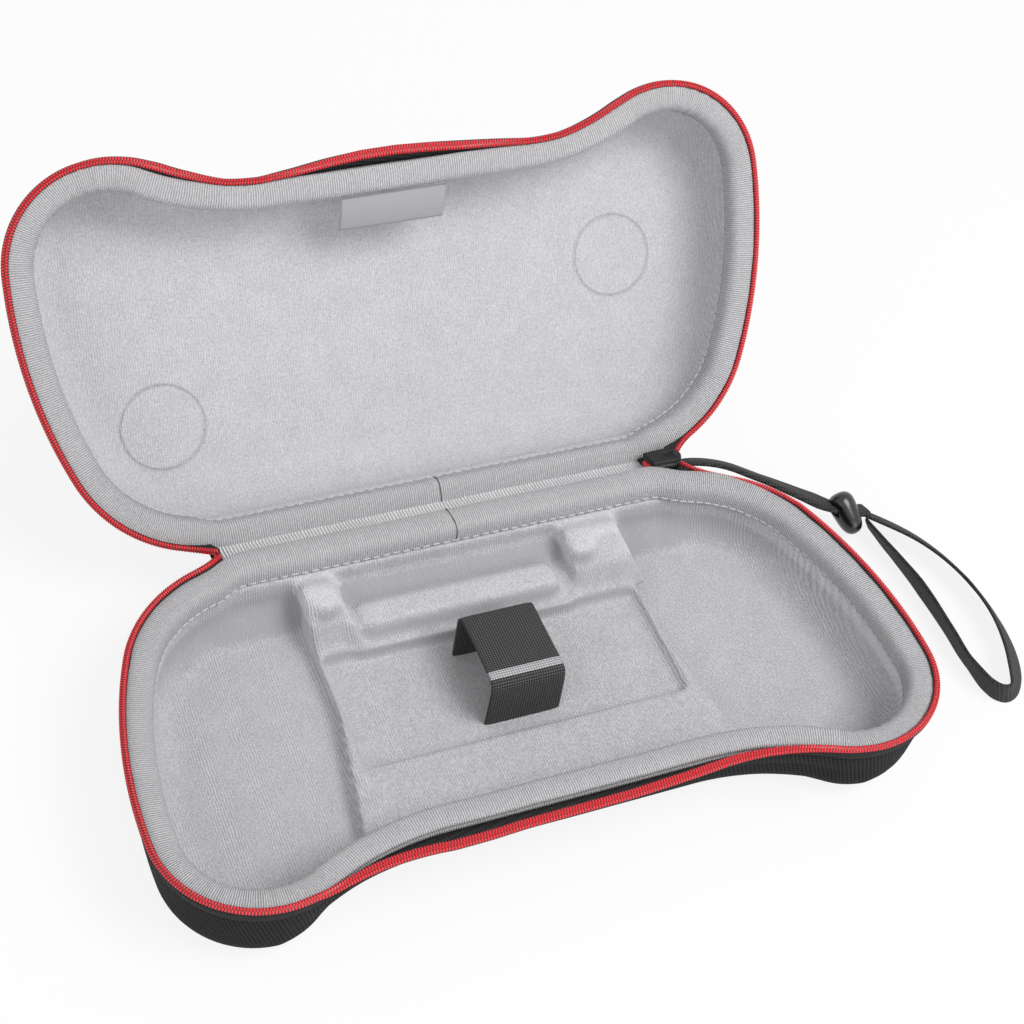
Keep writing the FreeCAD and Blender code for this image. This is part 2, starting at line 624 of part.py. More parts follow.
def bead():
    """Barrel with a slot across it, which slides along the doubled webbing."""
    half = BEAD_LENGTH / 2.0
    barrel = Part.makeCylinder(BEAD_RADIUS, BEAD_LENGTH, Vector(-BEAD_PLACE, 0, -half), Z_AXIS)
    rims = [edge for edge in barrel.Edges if len(edge.Vertexes) == 1]
    barrel = barrel.makeFillet(BEAD_ROUND, rims)
    slot_y = BEAD_SLOT[0] / 2.0
    slot_z = BEAD_SLOT[1] / 2.0
    slot = box((-BEAD_PLACE - BEAD_LENGTH, -slot_y, -slot_z),
               (BEAD_LENGTH - BEAD_PLACE, slot_y, slot_z))
    upright = [edge for edge in slot.Edges
               if abs(edge.Vertexes[0].Point.x - edge.Vertexes[1].Point.x) > 1.0]
    slot = slot.makeFillet(slot_y * 0.6, upright)
    return lead_placed(barrel.cut(slot))


def lead_placed(shape):
    """Move a shape from the lead's frame to the part's frame."""
    moved = shape.copy()
    moved.Placement = lead_placement().multiply(moved.Placement)
    return moved


def slider_placed(shape):
    """Move a shape from the slider's frame to the part's frame."""
    moved = shape.copy()
    moved.Placement = slider_placement().multiply(moved.Placement)
    return moved


def lid_lining():
    """Brushed lining of the lid, with two ring marks pressed into its flat."""
    grow = WALL_OUT - LID_WALL - CLEAR
    floor = LID_WALL + CLEAR - LID_HEIGHT
    top = -BINDING_HEIGHT - BINDING_LEG_DROP - CLEAR
    rounding = LID_ROUND - LID_WALL
    outer = bowl_block(grow, LID_LEAN, top, floor, rounding, 1)
    inner = bowl_block(grow - LINING, LID_LEAN, top, floor + LINING, rounding - LINING, 1)
    lining = outer.cut(inner)
    for x, depth in ((-MARK_X, MARK_DEPTHS[0]), (MARK_X, MARK_DEPTHS[1])):
        foot = Vector(x, depth, floor + LINING - MARK_GROOVE)
        ring = Part.makeCylinder(MARK_RADIUS, LINING, foot, Z_AXIS)
        ring = ring.cut(Part.makeCylinder(MARK_RADIUS - MARK_WIDTH, LINING, foot, Z_AXIS))
        lining = lining.cut(ring)
    return lining


def build():
    """Every node's solid, in the part's frame."""
    return {
        "base_shell": base_place(shell(BASE_HEIGHT, BASE_WALL, BASE_LEAN, BASE_ROUND, -1)),
        "base_tray": base_place(tray()),
        "base_binding": base_place(binding(-1)),
        "base_stitching": base_place(stitching(-1)),
        "base_zipper_tape": base_place(zipper_tape(-1)),
        "base_zipper_coil": base_place(zipper_coil(-1)),
        "elastic_band": base_place(elastic_band()),
        "lid_shell": lid_place(shell(LID_HEIGHT, LID_WALL, LID_LEAN, LID_ROUND, 1)),
        "lid_lining": lid_place(lid_lining()),
        "lid_binding": lid_place(binding(1)),
        "lid_stitching": lid_place(stitching(1)),
        "lid_zipper_tape": lid_place(zipper_tape(1)),
        "lid_zipper_coil": lid_place(zipper_coil(1)),
        "lid_label": lid_place(label()),
        "hinge_lining": hinge_lining(),
        "hinge_web": hinge_web(),
        "zipper_slider": slider_placed(slider()),
        "zipper_closed_chain": slider_placed(closed_chain()),
        "wrist_strap_lead": strap_lead(),
        "wrist_strap_loop": strap_loop(),
        "strap_bead": bead(),
    }


def main():
    os.makedirs(PARTS_FOLDER, exist_ok=True)
    for name, shape in build().items():
        if not shape.isValid() or shape.Volume <= 0:
            raise ValueError("%s is not a valid solid" % name)
        shape.exportStep(os.path.join(PARTS_FOLDER, name + ".step"))
        print("%s: %d solid(s), %.0f mm3" % (name, len(shape.Solids), shape.Volume))
    print("hinge axis y %.2f z %.2f" % hinge_axis())
    print("strap exit", strap_exit(), "bead middle",
          lead_placement().multVec(Vector(-BEAD_PLACE, 0, 0)))


main()
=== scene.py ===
# %% [markdown]
# A moulded zip case, photographed open. Two shells of pressed foam are covered outside with
# black woven nylon and lined inside with grey brushed cloth. A ribbed grey binding is sewn
# over each rim, a red coil zipper runs round it, and a strip of cloth is the hinge. The CAD
# model gives every place and size. This lesson dresses it: each soft piece is swept or
# remeshed from those sizes, and each finish is built from nodes.

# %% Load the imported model
import math

import bmesh
import bpy
import numpy as np
from mathutils import Matrix, Vector


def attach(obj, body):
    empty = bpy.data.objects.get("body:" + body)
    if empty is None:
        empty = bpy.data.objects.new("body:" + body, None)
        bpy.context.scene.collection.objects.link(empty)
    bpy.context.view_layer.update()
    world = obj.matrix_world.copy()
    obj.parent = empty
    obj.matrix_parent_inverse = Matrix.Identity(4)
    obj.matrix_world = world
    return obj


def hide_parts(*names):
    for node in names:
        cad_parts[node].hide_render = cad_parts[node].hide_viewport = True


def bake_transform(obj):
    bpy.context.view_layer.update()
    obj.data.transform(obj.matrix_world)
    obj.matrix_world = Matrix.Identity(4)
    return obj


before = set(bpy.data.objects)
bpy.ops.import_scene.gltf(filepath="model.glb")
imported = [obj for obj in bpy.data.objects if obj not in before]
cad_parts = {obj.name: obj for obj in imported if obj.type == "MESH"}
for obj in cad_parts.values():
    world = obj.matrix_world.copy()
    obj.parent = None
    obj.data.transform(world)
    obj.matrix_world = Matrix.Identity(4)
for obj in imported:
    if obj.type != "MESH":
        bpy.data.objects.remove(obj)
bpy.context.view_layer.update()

# %% [markdown]
# The camera comes first, so that every later step can be judged in the photograph's own
# view. Its place and lens were solved from the outline of the two rims, which is one shape
# seen twice. A long lens keeps the case's curves true. The small shift moves the frame
# without turning the camera.

# %% The photograph's camera
MM = 0.001
CAMERA_PLACE = Vector((-200.7, -327.55, 503.4)) * MM
CAMERA_RIGHT = Vector((0.9196, -0.3713, 0.1284))
CAMERA_UP = Vector((0.1960, 0.7169, 0.6691))
CAMERA_BACK = CAMERA_RIGHT.cross(CAMERA_UP).normalized()

camera_data = bpy.data.cameras.new("photo_camera")
camera_data.sensor_width = 36.0
camera_data.lens = 72.4
camera_data.shift_x = -0.0043
camera_data.shift_y = 0.0050
camera_data.clip_start = 0.01
camera = bpy.data.objects.new("photo_camera", camera_data)
bpy.context.scene.collection.objects.link(camera)
turn = Matrix((CAMERA_RIGHT, CAMERA_UP, CAMERA_BACK)).transposed().to_4x4()
camera.matrix_world = Matrix.Translation(CAMERA_PLACE) @ turn
bpy.context.scene.camera = camera
print("camera", camera.location, "lens", camera_data.lens)

# %% [markdown]
# The case stands on a white floor. To the camera and in reflections the floor glows white, so
# the background comes from its own colour and no lamp is turned up for it. To all other
# light it is plain matt, and it keeps the case's soft shadow. The glow is a little under
# full, so that the shadow stays visible.

# %% White floor
FLOOR_GLOW = 0.86
FLOOR_GREY = 0.86
HALF_FLOOR = 3.0


def stage_white():
    """White for the camera and for reflections, a pale diffuse floor for the rest."""
    material = bpy.data.materials.new("white_sweep")
    material.use_nodes = True
    nodes = material.node_tree.nodes
    links = material.node_tree.links
    nodes.clear()
    output = nodes.new("ShaderNodeOutputMaterial")
    mix = nodes.new("ShaderNodeMixShader")
    rays = nodes.new("ShaderNodeLightPath")
    glow = nodes.new("ShaderNodeEmission")
    glow.inputs["Color"].default_value = (1, 1, 1, 1)
    glow.inputs["Strength"].default_value = 1.0
    matt = nodes.new("ShaderNodeBsdfDiffuse")
    matt.inputs["Color"].default_value = (FLOOR_GREY, FLOOR_GREY, FLOOR_GREY, 1)
    share = nodes.new("ShaderNodeMath")
    share.operation = "MULTIPLY"
    share.inputs[1].default_value = FLOOR_GLOW
    seen = nodes.new("ShaderNodeMath")
    seen.operation = "MAXIMUM"
    links.new(rays.outputs["Is Camera Ray"], seen.inputs[0])
    links.new(rays.outputs["Is Glossy Ray"], seen.inputs[1])
    links.new(seen.outputs[0], share.inputs[0])
    links.new(share.outputs[0], mix.inputs[0])
    links.new(matt.outputs[0], mix.inputs[1])
    links.new(glow.outputs[0], mix.inputs[2])
    links.new(mix.outputs[0], output.inputs["Surface"])
    return material


floor_corners = [(x * HALF_FLOOR, y * HALF_FLOOR, 0) for x, y in ((-1, -1), (1, -1), (1, 1), (-1, 1))]
floor_mesh = bpy.data.meshes.new("floor")
floor_mesh.from_pydata(floor_corners, [], [(0, 1, 2, 3)])
floor = bpy.data.objects.new("floor", floor_mesh)
bpy.context.scene.collection.objects.link(floor)
floor.data.materials.append(stage_white())
print("floor", 2.0 * HALF_FLOOR, "m wide")

# %% [markdown]
# The world is handled the same way: full white to the camera and in reflections, and about
# half as strong as light, like the pale walls of a room. This level lifts the hollows of
# the case, so that no wall of it goes dark.

# %% White world
ROOM_LIGHT = 0.54
world = bpy.data.worlds.new("studio")
bpy.context.scene.world = world
world.use_nodes = True
world_nodes = world.node_tree.nodes
world_links = world.node_tree.links
sky = world_nodes["Background"]
sky_rays = world_nodes.new("ShaderNodeLightPath")
sky_seen = world_nodes.new("ShaderNodeMath")
sky_seen.operation = "MAXIMUM"
world_links.new(sky_rays.outputs["Is Camera Ray"], sky_seen.inputs[0])
world_links.new(sky_rays.outputs["Is Glossy Ray"], sky_seen.inputs[1])
sky_level = world_nodes.new("ShaderNodeMapRange")
sky_level.inputs["To Min"].default_value = ROOM_LIGHT
sky_level.inputs["To Max"].default_value = 1.0
world_links.new(sky_seen.outputs[0], sky_level.inputs["Value"])
world_links.new(sky_level.outputs["Result"], sky.inputs["Strength"])
sky.inputs["Color"].default_value = (1, 1, 1, 1)
print("room light", ROOM_LIGHT)

# %% [markdown]
# Three soft square lamps give the case its form. A broad one high on the right shades the
# hollows, a weak one fills them from the left, and a low one in front reaches the walls
# that face the floor.

# %% Soft lamps
def soft_lamp(name, place, aim, size, power):
    """Square area lamp, aimed at a point of the case."""
    data = bpy.data.lights.new(name, "AREA")
    data.shape = "SQUARE"
    data.size = size
    data.energy = power
    lamp = bpy.data.objects.new(name, data)
    bpy.context.scene.collection.objects.link(lamp)
    lamp.location = place
    lamp.rotation_euler = (Vector(aim) - Vector(place)).to_track_quat("-Z", "Y").to_euler()
    return lamp


soft_lamp("key_lamp", (0.5, -0.55, 1.2), (0, 0.05, 0.03), 0.7, 12.8)
soft_lamp("fill_lamp", (-1.1, -0.7, 0.7), (0, 0.05, 0.05), 0.9, 3.6)
soft_lamp("low_lamp", (0.35, -0.75, 0.16), (-0.05, 0.12, 0.1), 0.5, 1.5)
bpy.context.scene.view_settings.view_transform = "Standard"

# %% [markdown]
# Both rims have the same outline: a straight hinge edge, two corners, bowed ends, two lobes
# and a waist. The sizes are the CAD model's own, in millimetres. Depths run from the hinge
# edge to the front, each arc is named by its centre and radius, and whatever lies deeper
# than FRONT_FROM is on the front.

# %% Sizes of the case
HALF_LENGTH = 120.0
LOBE = (91.0, 88.3)
LOBE_RADIUS = 29.0
CORNER = (69.3, 43.5)
CORNER_RADIUS = 43.5
SIDE_RADIUS = 147.5
WAIST_DEPTH = 105.5
WAIST_RADIUS = 82.3
DEPTH = 117.3
MIDDLE = DEPTH / 2.0
BASE_HEIGHT = 31.0
LID_HEIGHT = 28.0
HINGE_BACK = 13.8
HINGE_DROP = 5.9
OPEN_TILT = math.radians(180.0 - 123.7)
FRONT_FROM = 95.0
print("closed height %.0f mm" % (BASE_HEIGHT + LID_HEIGHT))

# %% [markdown]
# Each end of the case bows outwards a little. It is one wide arc that touches the corner's
# arc and the lobe's, so the place of its centre follows from its distance to theirs.

# %% Centre of a bowed end
def side_centre():
    """Centre of a bowed end, tangent to a lobe and a corner."""
    to_lobe = SIDE_RADIUS - LOBE_RADIUS
    to_corner = SIDE_RADIUS - CORNER_RADIUS
    gap = math.dist(LOBE, CORNER)
    along = (to_lobe ** 2 - to_corner ** 2 + gap ** 2) / (2.0 * gap)
    across = math.sqrt(to_lobe ** 2 - along ** 2)
    unit = ((CORNER[0] - LOBE[0]) / gap, (CORNER[1] - LOBE[1]) / gap)
    return (LOBE[0] + unit[0] * along + unit[1] * across, LOBE[1] + unit[1] * along - unit[0] * across)


print("bowed end's centre", side_centre())

# %% [markdown]
# The outline is made of arcs that touch, so a point on it has an exact outward normal, and any
# seam beside the rim is that point moved along its normal. The stations run along one half
# of the rim, and the other half is its mirror image. One station every millimetre or so is
# enough for smooth pieces.

# %% Stations round the rim
def outline(count):
    """Stations round the whole rim, from the middle of the hinge edge towards +X.

    Each row is x, depth, normal x, normal depth, distance along the rim.
    """
    hollow_depth = WAIST_DEPTH + WAIST_RADIUS
    reach = WAIST_RADIUS + LOBE_RADIUS
    hollow = (LOBE[0] - math.sqrt(reach ** 2 - (hollow_depth - LOBE[1]) ** 2), hollow_depth)
    bow = side_centre()

    def angle(a, b):
        return math.atan2(b[1] - a[1], b[0] - a[0])

    arcs = [(CORNER, CORNER_RADIUS, -math.pi / 2, angle(bow, CORNER), 1.0),
            (bow, SIDE_RADIUS, angle(bow, CORNER), angle(bow, LOBE), 1.0),
            (LOBE, LOBE_RADIUS, angle(bow, LOBE), angle(LOBE, hollow), 1.0),
            (hollow, WAIST_RADIUS, angle(hollow, LOBE), -math.pi / 2, -1.0)]
    lengths = [CORNER[0]] + [radius * abs(end - start) for _, radius, start, end, _ in arcs] + [hollow[0]]
    total = sum(lengths)
    rows = []
    for distance in np.linspace(0.0, total, count // 2 + 1):
        rest = distance
        piece = 0
        while piece < 5 and rest > lengths[piece]:
            rest -= lengths[piece]
            piece += 1
        if piece == 0:
            rows.append((rest, 0.0, 0.0, -1.0, distance))
        elif piece == 5:
            rows.append((hollow[0] - rest, WAIST_DEPTH, 0.0, 1.0, distance))
        else:
            centre, radius, start, end, sign = arcs[piece - 1]
            turned = start + (end - start) * rest / lengths[piece]
            nx, nd = math.cos(turned), math.sin(turned)
            rows.append((centre[0] + radius * nx, centre[1] + radius * nd, sign * nx, sign * nd, distance))
    rows = np.array(rows)
    back = rows[-2:0:-1] * np.array([-1, 1, -1, 1, -1]) + np.array([0, 0, 0, 0, 2 * total])
    return np.vstack([rows, back]), 2.0 * total


STATIONS = 600
RIM, RIM_LENGTH = outline(STATIONS)
print("rim length %.1f mm, half length %.2f mm" % (RIM_LENGTH, RIM[:, 0].max()))

# %% [markdown]
# Pieces are worked out in a rim's own frame: x, depth from the hinge edge, and height over
# the rim plane. Two short functions then put them on the base or on the leaning lid. So a
# piece that both halves have is written once.

# %% From a rim's frame to the model
def on_base(points):
    """Rim frame to model, in millimetres, for the base."""
    x, depth, height = np.moveaxis(np.asarray(points, float), -1, 0)
    return np.stack([x, MIDDLE - depth, BASE_HEIGHT + height], -1)


def on_lid(points):
    """Rim frame to model, in millimetres, for the open lid."""
    x, depth, height = np.moveaxis(np.asarray(points, float), -1, 0)
    y = MIDDLE + HINGE_BACK + depth * math.cos(OPEN_TILT) - height * math.sin(OPEN_TILT)
    z = BASE_HEIGHT - HINGE_DROP + depth * math.sin(OPEN_TILT) + height * math.cos(OPEN_TILT)
    return np.stack([x, y, z], -1)


HALVES = {"base": (on_base, "case_base"), "lid": (on_lid, "case_lid")}


def offset_ring(rows, grow, height):
    """Points of a rim outline moved outwards by grow, at a height."""
    return np.stack([rows[:, 0] + rows[:, 2] * grow, rows[:, 1] + rows[:, 3] * grow,
                     np.zeros(len(rows)) + height], -1)


print("model point of the lid's hinge edge", on_lid([0, 0, 0]))

# %% [markdown]
# Every swept piece is one skin: rows of points, joined by four-sided faces. It carries a cloth
# map in millimetres, along its sweep and across it, so that ribs and weaves keep their real
# size on every piece. A sweep that doesn't close has its ends filled, so that the piece is
# solid for whoever prints or cuts it.

# %% Pieces and skins from points
def mesh_piece(name, vertices, faces, corner_maps=None, smooth=True):
    """Object from vertices in millimetres, with its cloth map if there is one."""
    mesh = bpy.data.meshes.new(name)
    mesh.from_pydata((np.asarray(vertices, float) * MM).tolist(), [], faces)
    if corner_maps is not None:
        layer = mesh.uv_layers.new(name="cloth_mm")
        layer.data.foreach_set("uv", np.asarray(corner_maps, np.float32).ravel())
    mesh.polygons.foreach_set("use_smooth", [smooth] * len(mesh.polygons))
    piece = bpy.data.objects.new(name, mesh)
    bpy.context.scene.collection.objects.link(piece)
    return piece


def skin(name, points, along, across, wrap_rows=False, wrap_columns=False, fill=()):
    """Mesh over rows of points. fill names the ends that get a face: "first" or "last" row,
    or "first_column" and "last_column" where the rows wrap."""
    points = np.asarray(points, float)
    rows, columns = points.shape[:2]
    faces = []
    maps = []
    for row in range(rows if wrap_rows else rows - 1):
        for column in range(columns if wrap_columns else columns - 1):
            quad = ((row, column), (row + 1, column), (row + 1, column + 1), (row, column + 1))
            faces.append([(a % rows) * columns + b % columns for a, b in quad])
            maps.extend((along[a], across[b]) for a, b in quad)
    ends = {"first": [(0, c) for c in range(columns)], "last": [(rows - 1, c) for c in range(columns)][::-1],
            "first_column": [(r, 0) for r in range(rows)][::-1],
            "last_column": [(r, columns - 1) for r in range(rows)]}
    for end in fill:
        corners = ends[end]
        faces.append([a * columns + b for a, b in corners])
        maps.extend((points[a, b, 0], points[a, b, 1]) for a, b in corners)
    piece = mesh_piece(name, points.reshape(-1, 3), faces, maps)
    tidy = bmesh.new()
    tidy.from_mesh(piece.data)
    bmesh.ops.recalc_face_normals(tidy, faces=tidy.faces)
    tidy.to_mesh(piece.data)
    tidy.free()
    return piece


print("helpers", mesh_piece.__name__, skin.__name__)

# %% [markdown]
# A few small tools serve all sweeps: unit vectors, running distances, even spacing, and a
# section whose corners are rounded. A sewn edge never has a sharp corner, so sections are
# given by a few corners and a radius, which is easier to read and to change than a list of
# many points.

# %% Tools for lines and sections
def unit(ways):
    """Vectors of length 1."""
    return ways / np.linalg.norm(ways, axis=-1, keepdims=True)


def lengths_along(points):
    """Running distance along a list of points."""
    steps = np.linalg.norm(np.diff(np.asarray(points, float), axis=0), axis=1)
    return np.concatenate([[0.0], np.cumsum(steps)])


def resampled(values, run, wanted):
    """Rows of values at other distances along their line."""
    return np.stack([np.interp(wanted, run, values[:, column]) for column in range(values.shape[1])], -1)


def eased(values):
    """Smooth step from 0 to 1."""
    values = np.clip(values, 0.0, 1.0)
    return values * values * (3.0 - 2.0 * values)


def round_corner(before, corner, after, radius, steps):
    """Points of a soft turn at a corner."""
    into = before - corner
    away = after - corner
    cut = min(radius, 0.45 * np.linalg.norm(into), 0.45 * np.linalg.norm(away))
    start = corner + unit(into) * cut
    end = corner + unit(away) * cut
    return [start * (1 - share) ** 2 + corner * 2 * share * (1 - share) + end * share ** 2
            for share in np.linspace(0.0, 1.0, steps)]


def rounded(corners, radius, steps=4):
    """Closed section with each corner rounded, from (u, z) corners."""
    corners = [np.array(c, float) for c in corners]
    out = []
    for before, corner, after in zip(corners[-1:] + corners[:-1], corners, corners[1:] + corners[:1]):
        out.extend(round_corner(before, corner, after, radius, steps))
    return np.array(out)


print("points of a rounded square", len(rounded([(0, 0), (1, 0), (1, 1), (0, 1)], 0.2)))

# %% [markdown]
# Finishes share a few effects, so each effect is one node group: where a point lies on its
# cloth, ribs across a tape, a woven surface, the mottle of brushed cloth, and a pressed
# ring. A group gives masks and heights only. Each material keeps its own shader and puts
# its plain numbers on the shader's sockets. These helpers keep the node code short.

# %% Node helpers
def new_group(name, inputs, outputs):
    """Shader node group with named float inputs and outputs."""
    tree = bpy.data.node_groups.new(name, "ShaderNodeTree")
    for label, value in inputs:
        socket = tree.interface.new_socket(label, in_out="INPUT", socket_type="NodeSocketFloat")
        socket.default_value = value
    for label in outputs:
        tree.interface.new_socket(label, in_out="OUTPUT", socket_type="NodeSocketFloat")
    return tree, tree.nodes.new("NodeGroupInput"), tree.nodes.new("NodeGroupOutput")


def calc(tree, operation, *values, clamp=False):
    """Math node; a value is a number or another node's output."""
    node = tree.nodes.new("ShaderNodeMath")
    node.operation = operation
    node.use_clamp = clamp
    for socket, value in zip(node.inputs, values):
        if isinstance(value, (int, float)):
            socket.default_value = value
        else:
            tree.links.new(value, socket)
    return node.outputs[0]


def place_group(tree, group, **values):
    """A group in a material, with its inputs set or linked."""
    node = tree.nodes.new("ShaderNodeGroup")
    node.node_tree = group
    for label, value in values.items():
        if isinstance(value, (int, float)):
            node.inputs[label].default_value = value
        else:
            tree.links.new(value, node.inputs[label])
    return node.outputs


def cloth_noise(tree, scale, detail=2.0, roughness=0.5):
    """Noise in object space; scale counts grains per millimetre."""
    where = tree.nodes.new("ShaderNodeTexCoord")
    mapping = tree.nodes.new("ShaderNodeMapping")
    mapping.inputs["Scale"].default_value = [scale / MM] * 3
    noise = tree.nodes.new("ShaderNodeTexNoise")
    noise.inputs["Scale"].default_value = 1.0
    noise.inputs["Detail"].default_value = detail
    noise.inputs["Roughness"].default_value = roughness
    tree.links.new(where.outputs["Object"], mapping.inputs["Vector"])
    tree.links.new(mapping.outputs["Vector"], noise.inputs["Vector"])
    return noise.outputs["Fac"]


print("helpers", new_group.__name__, calc.__name__, place_group.__name__, cloth_noise.__name__)

# %% [markdown]
# A swept piece reads its cloth map, which runs along the sweep and across it. A remeshed
# piece has no such map, so it reads its place in the body, also in millimetres.

# %% Where a point lies on its cloth
CLOTH_MAP, _, cloth_out = new_group("cloth_map", [], ["Along", "Across"])
cloth_uv = CLOTH_MAP.nodes.new("ShaderNodeUVMap")
cloth_uv.uv_map = "cloth_mm"
cloth_split = CLOTH_MAP.nodes.new("ShaderNodeSeparateXYZ")
CLOTH_MAP.links.new(cloth_uv.outputs["UV"], cloth_split.inputs[0])
CLOTH_MAP.links.new(cloth_split.outputs["X"], cloth_out.inputs["Along"])
CLOTH_MAP.links.new(cloth_split.outputs["Y"], cloth_out.inputs["Across"])

BODY_MAP, _, body_out = new_group("body_map", [], ["Along", "Across"])
body_where = BODY_MAP.nodes.new("ShaderNodeTexCoord")
body_split = BODY_MAP.nodes.new("ShaderNodeSeparateXYZ")
BODY_MAP.links.new(body_where.outputs["Object"], body_split.inputs[0])
BODY_MAP.links.new(calc(BODY_MAP, "MULTIPLY", body_split.outputs["X"], 1000.0), body_out.inputs["Along"])
BODY_MAP.links.new(calc(BODY_MAP, "MULTIPLY", body_split.outputs["Y"], 1000.0), body_out.inputs["Across"])
print("maps", CLOTH_MAP.name, BODY_MAP.name)

# %% [markdown]
# Ribs are a wave along the tape at the real pitch. Some slow noise lets them wander, as real
# threads do. At these pitches ribs are far too fine for mesh, so they are tone and bump.

# %% Ribs across a tape
RIBS, ribs_in, ribs_out = new_group("ribs", [("Along", 0.0), ("Pitch", 0.7), ("Wander", 0.3)], ["Height"])
rib_drift = calc(RIBS, "MULTIPLY", cloth_noise(RIBS, 0.35, 2.0), ribs_in.outputs["Wander"])
rib_turns = calc(RIBS, "DIVIDE", ribs_in.outputs["Along"], ribs_in.outputs["Pitch"])
rib_angle = calc(RIBS, "MULTIPLY", calc(RIBS, "ADD", rib_turns, rib_drift), 2.0 * math.pi)
rib_wave = calc(RIBS, "MULTIPLY_ADD", calc(RIBS, "SINE", rib_angle), 0.5, 0.5)
RIBS.links.new(rib_wave, ribs_out.inputs["Height"])
print("group", RIBS.name)

# %% [markdown]
# A weave is two crossed waves: high where one thread lies over the other, low beside it. The
# slant lays the threads askew, as cloth lies over a moulded shell.

# %% Woven surface
WEAVE, weave_in, weave_out = new_group(
    "weave", [("Along", 0.0), ("Across", 0.0), ("Thread", 0.5), ("Slant", 0.0)], ["Height"])
weave_along = calc(WEAVE, "MULTIPLY_ADD", weave_in.outputs["Across"], weave_in.outputs["Slant"],
                   weave_in.outputs["Along"])
weave_across = calc(WEAVE, "SUBTRACT", weave_in.outputs["Across"],
                    calc(WEAVE, "MULTIPLY", weave_in.outputs["Along"], weave_in.outputs["Slant"]))
weave_waves = []
for direction in (weave_along, weave_across):
    angle = calc(WEAVE, "MULTIPLY", calc(WEAVE, "DIVIDE", direction, weave_in.outputs["Thread"]), math.pi)
    weave_waves.append(calc(WEAVE, "SINE", angle))
weave_cross = calc(WEAVE, "MULTIPLY", weave_waves[0], weave_waves[1])
WEAVE.links.new(calc(WEAVE, "MULTIPLY_ADD", weave_cross, 0.5, 0.5), weave_out.inputs["Height"])
print("group", WEAVE.name)

# %% [markdown]
# Brushed cloth shows no clear threads. Its nap has a fine grain and, much weaker, broad clouds
# where it was stroked one way or the other. Both are noise, added up.

# %% Mottle of brushed cloth
MOTTLE, mottle_in, mottle_out = new_group("mottle", [("Contrast", 1.0)], ["Tone", "Nap"])
mottle_fine = cloth_noise(MOTTLE, 1.6, 3.0, 0.6)
mottle_broad = cloth_noise(MOTTLE, 0.12, 3.0, 0.55)
mottle_sum = calc(MOTTLE, "ADD", calc(MOTTLE, "MULTIPLY", calc(MOTTLE, "SUBTRACT", mottle_fine, 0.5), 1.9),
                  calc(MOTTLE, "MULTIPLY", calc(MOTTLE, "SUBTRACT", mottle_broad, 0.5), 0.35))
mottle_tone = calc(MOTTLE, "MULTIPLY_ADD", mottle_sum, mottle_in.outputs["Contrast"], 0.5, clamp=True)
MOTTLE.links.new(mottle_tone, mottle_out.inputs["Tone"])
MOTTLE.links.new(mottle_fine, mottle_out.inputs["Nap"])
print("group", MOTTLE.name)

# %% [markdown]
# The lid's lining shows two faint rings, as if a round part had been pressed against it. A
# ring is the narrow band at one distance from a point, so it needs no map at all.

# %% A pressed ring
RING, ring_in, ring_out = new_group("pressed_ring", [("Distance", 0.0), ("Radius", 13.0), ("Width", 0.5)], ["Mask"])
ring_millimetres = calc(RING, "MULTIPLY", ring_in.outputs["Distance"], 1000.0)
ring_off = calc(RING, "ABSOLUTE", calc(RING, "SUBTRACT", ring_millimetres, ring_in.outputs["Radius"]))
ring_share = calc(RING, "SUBTRACT", 1.0, calc(RING, "DIVIDE", ring_off, ring_in.outputs["Width"]), clamp=True)
RING.links.new(calc(RING, "SMOOTH_MIN", ring_share, 1.0, 0.1), ring_out.inputs["Mask"])
RING_RADIUS = 13.4
RING_CENTRES = (on_lid([-78.5, 33.0, -24.35]), on_lid([78.5, 63.0, -24.35]))
print("effect groups", [g.name for g in bpy.data.node_groups])

# %% [markdown]
# Each finish is two tones mixed by a mask, a roughness, and a bump whose distance is the real
# depth of the threads. One function makes them all, so that they differ only in their
# numbers and masks.

# %% A finish from two tones and a bump
def finish(name, dark, light, tone, height, depth_mm, roughness=0.85, sheen=0.0, coat=0.0, specular=0.5):
    """Material: tone and height are functions that give a mask from the material's tree."""
    material = bpy.data.materials.new(name)
    material.use_nodes = True
    tree = material.node_tree
    shader = tree.nodes["Principled BSDF"]
    mix = tree.nodes.new("ShaderNodeMix")
    mix.data_type = "RGBA"
    mix.inputs["A"].default_value = (*dark, 1.0)
    mix.inputs["B"].default_value = (*light, 1.0)
    tree.links.new(tone(tree), mix.inputs["Factor"])
    tree.links.new(mix.outputs["Result"], shader.inputs["Base Color"])
    bump = tree.nodes.new("ShaderNodeBump")
    bump.inputs["Distance"].default_value = depth_mm * MM
    tree.links.new(height(tree), bump.inputs["Height"])
    tree.links.new(bump.outputs["Normal"], shader.inputs["Normal"])
    shader.inputs["Roughness"].default_value = roughness
    shader.inputs["Sheen Weight"].default_value = sheen
    shader.inputs["Coat Weight"].default_value = coat
    shader.inputs["Coat Roughness"].default_value = 0.25
    shader.inputs["Specular IOR Level"].default_value = specular
    return material


def blend_of(tree, first, second, share):
    """Mix of two masks: share of the second in the first."""
    return calc(tree, "ADD", calc(tree, "MULTIPLY", first, 1.0 - share), calc(tree, "MULTIPLY", second, share))


print("helpers", finish.__name__, blend_of.__name__)

# %% [markdown]
# The lining is a brushed knit: mottled nap with faint ribs, 0.8 mm apart. The lid's lining
# has the two rings as well. The tray's cloth has painted shade where it faces the front and
# low down at the back, and painted light on what is raised, as the photograph shows. Each
# ramp is a factor and an offset, for a normal or for a place in metres.

# %% Masks of the brushed cloth
# Ramps of painted shade and painted light on the tray's cloth.
FRONT_FACING_SHADE_RAMP = (-1.3, -0.3)
BACK_SHADE_RAMP = (330.0, -14.6)
LOW_SHADE_RAMP = (-500.0, 9.6)
RAISED_LIGHT_RAMP = (700.0, -12.3)


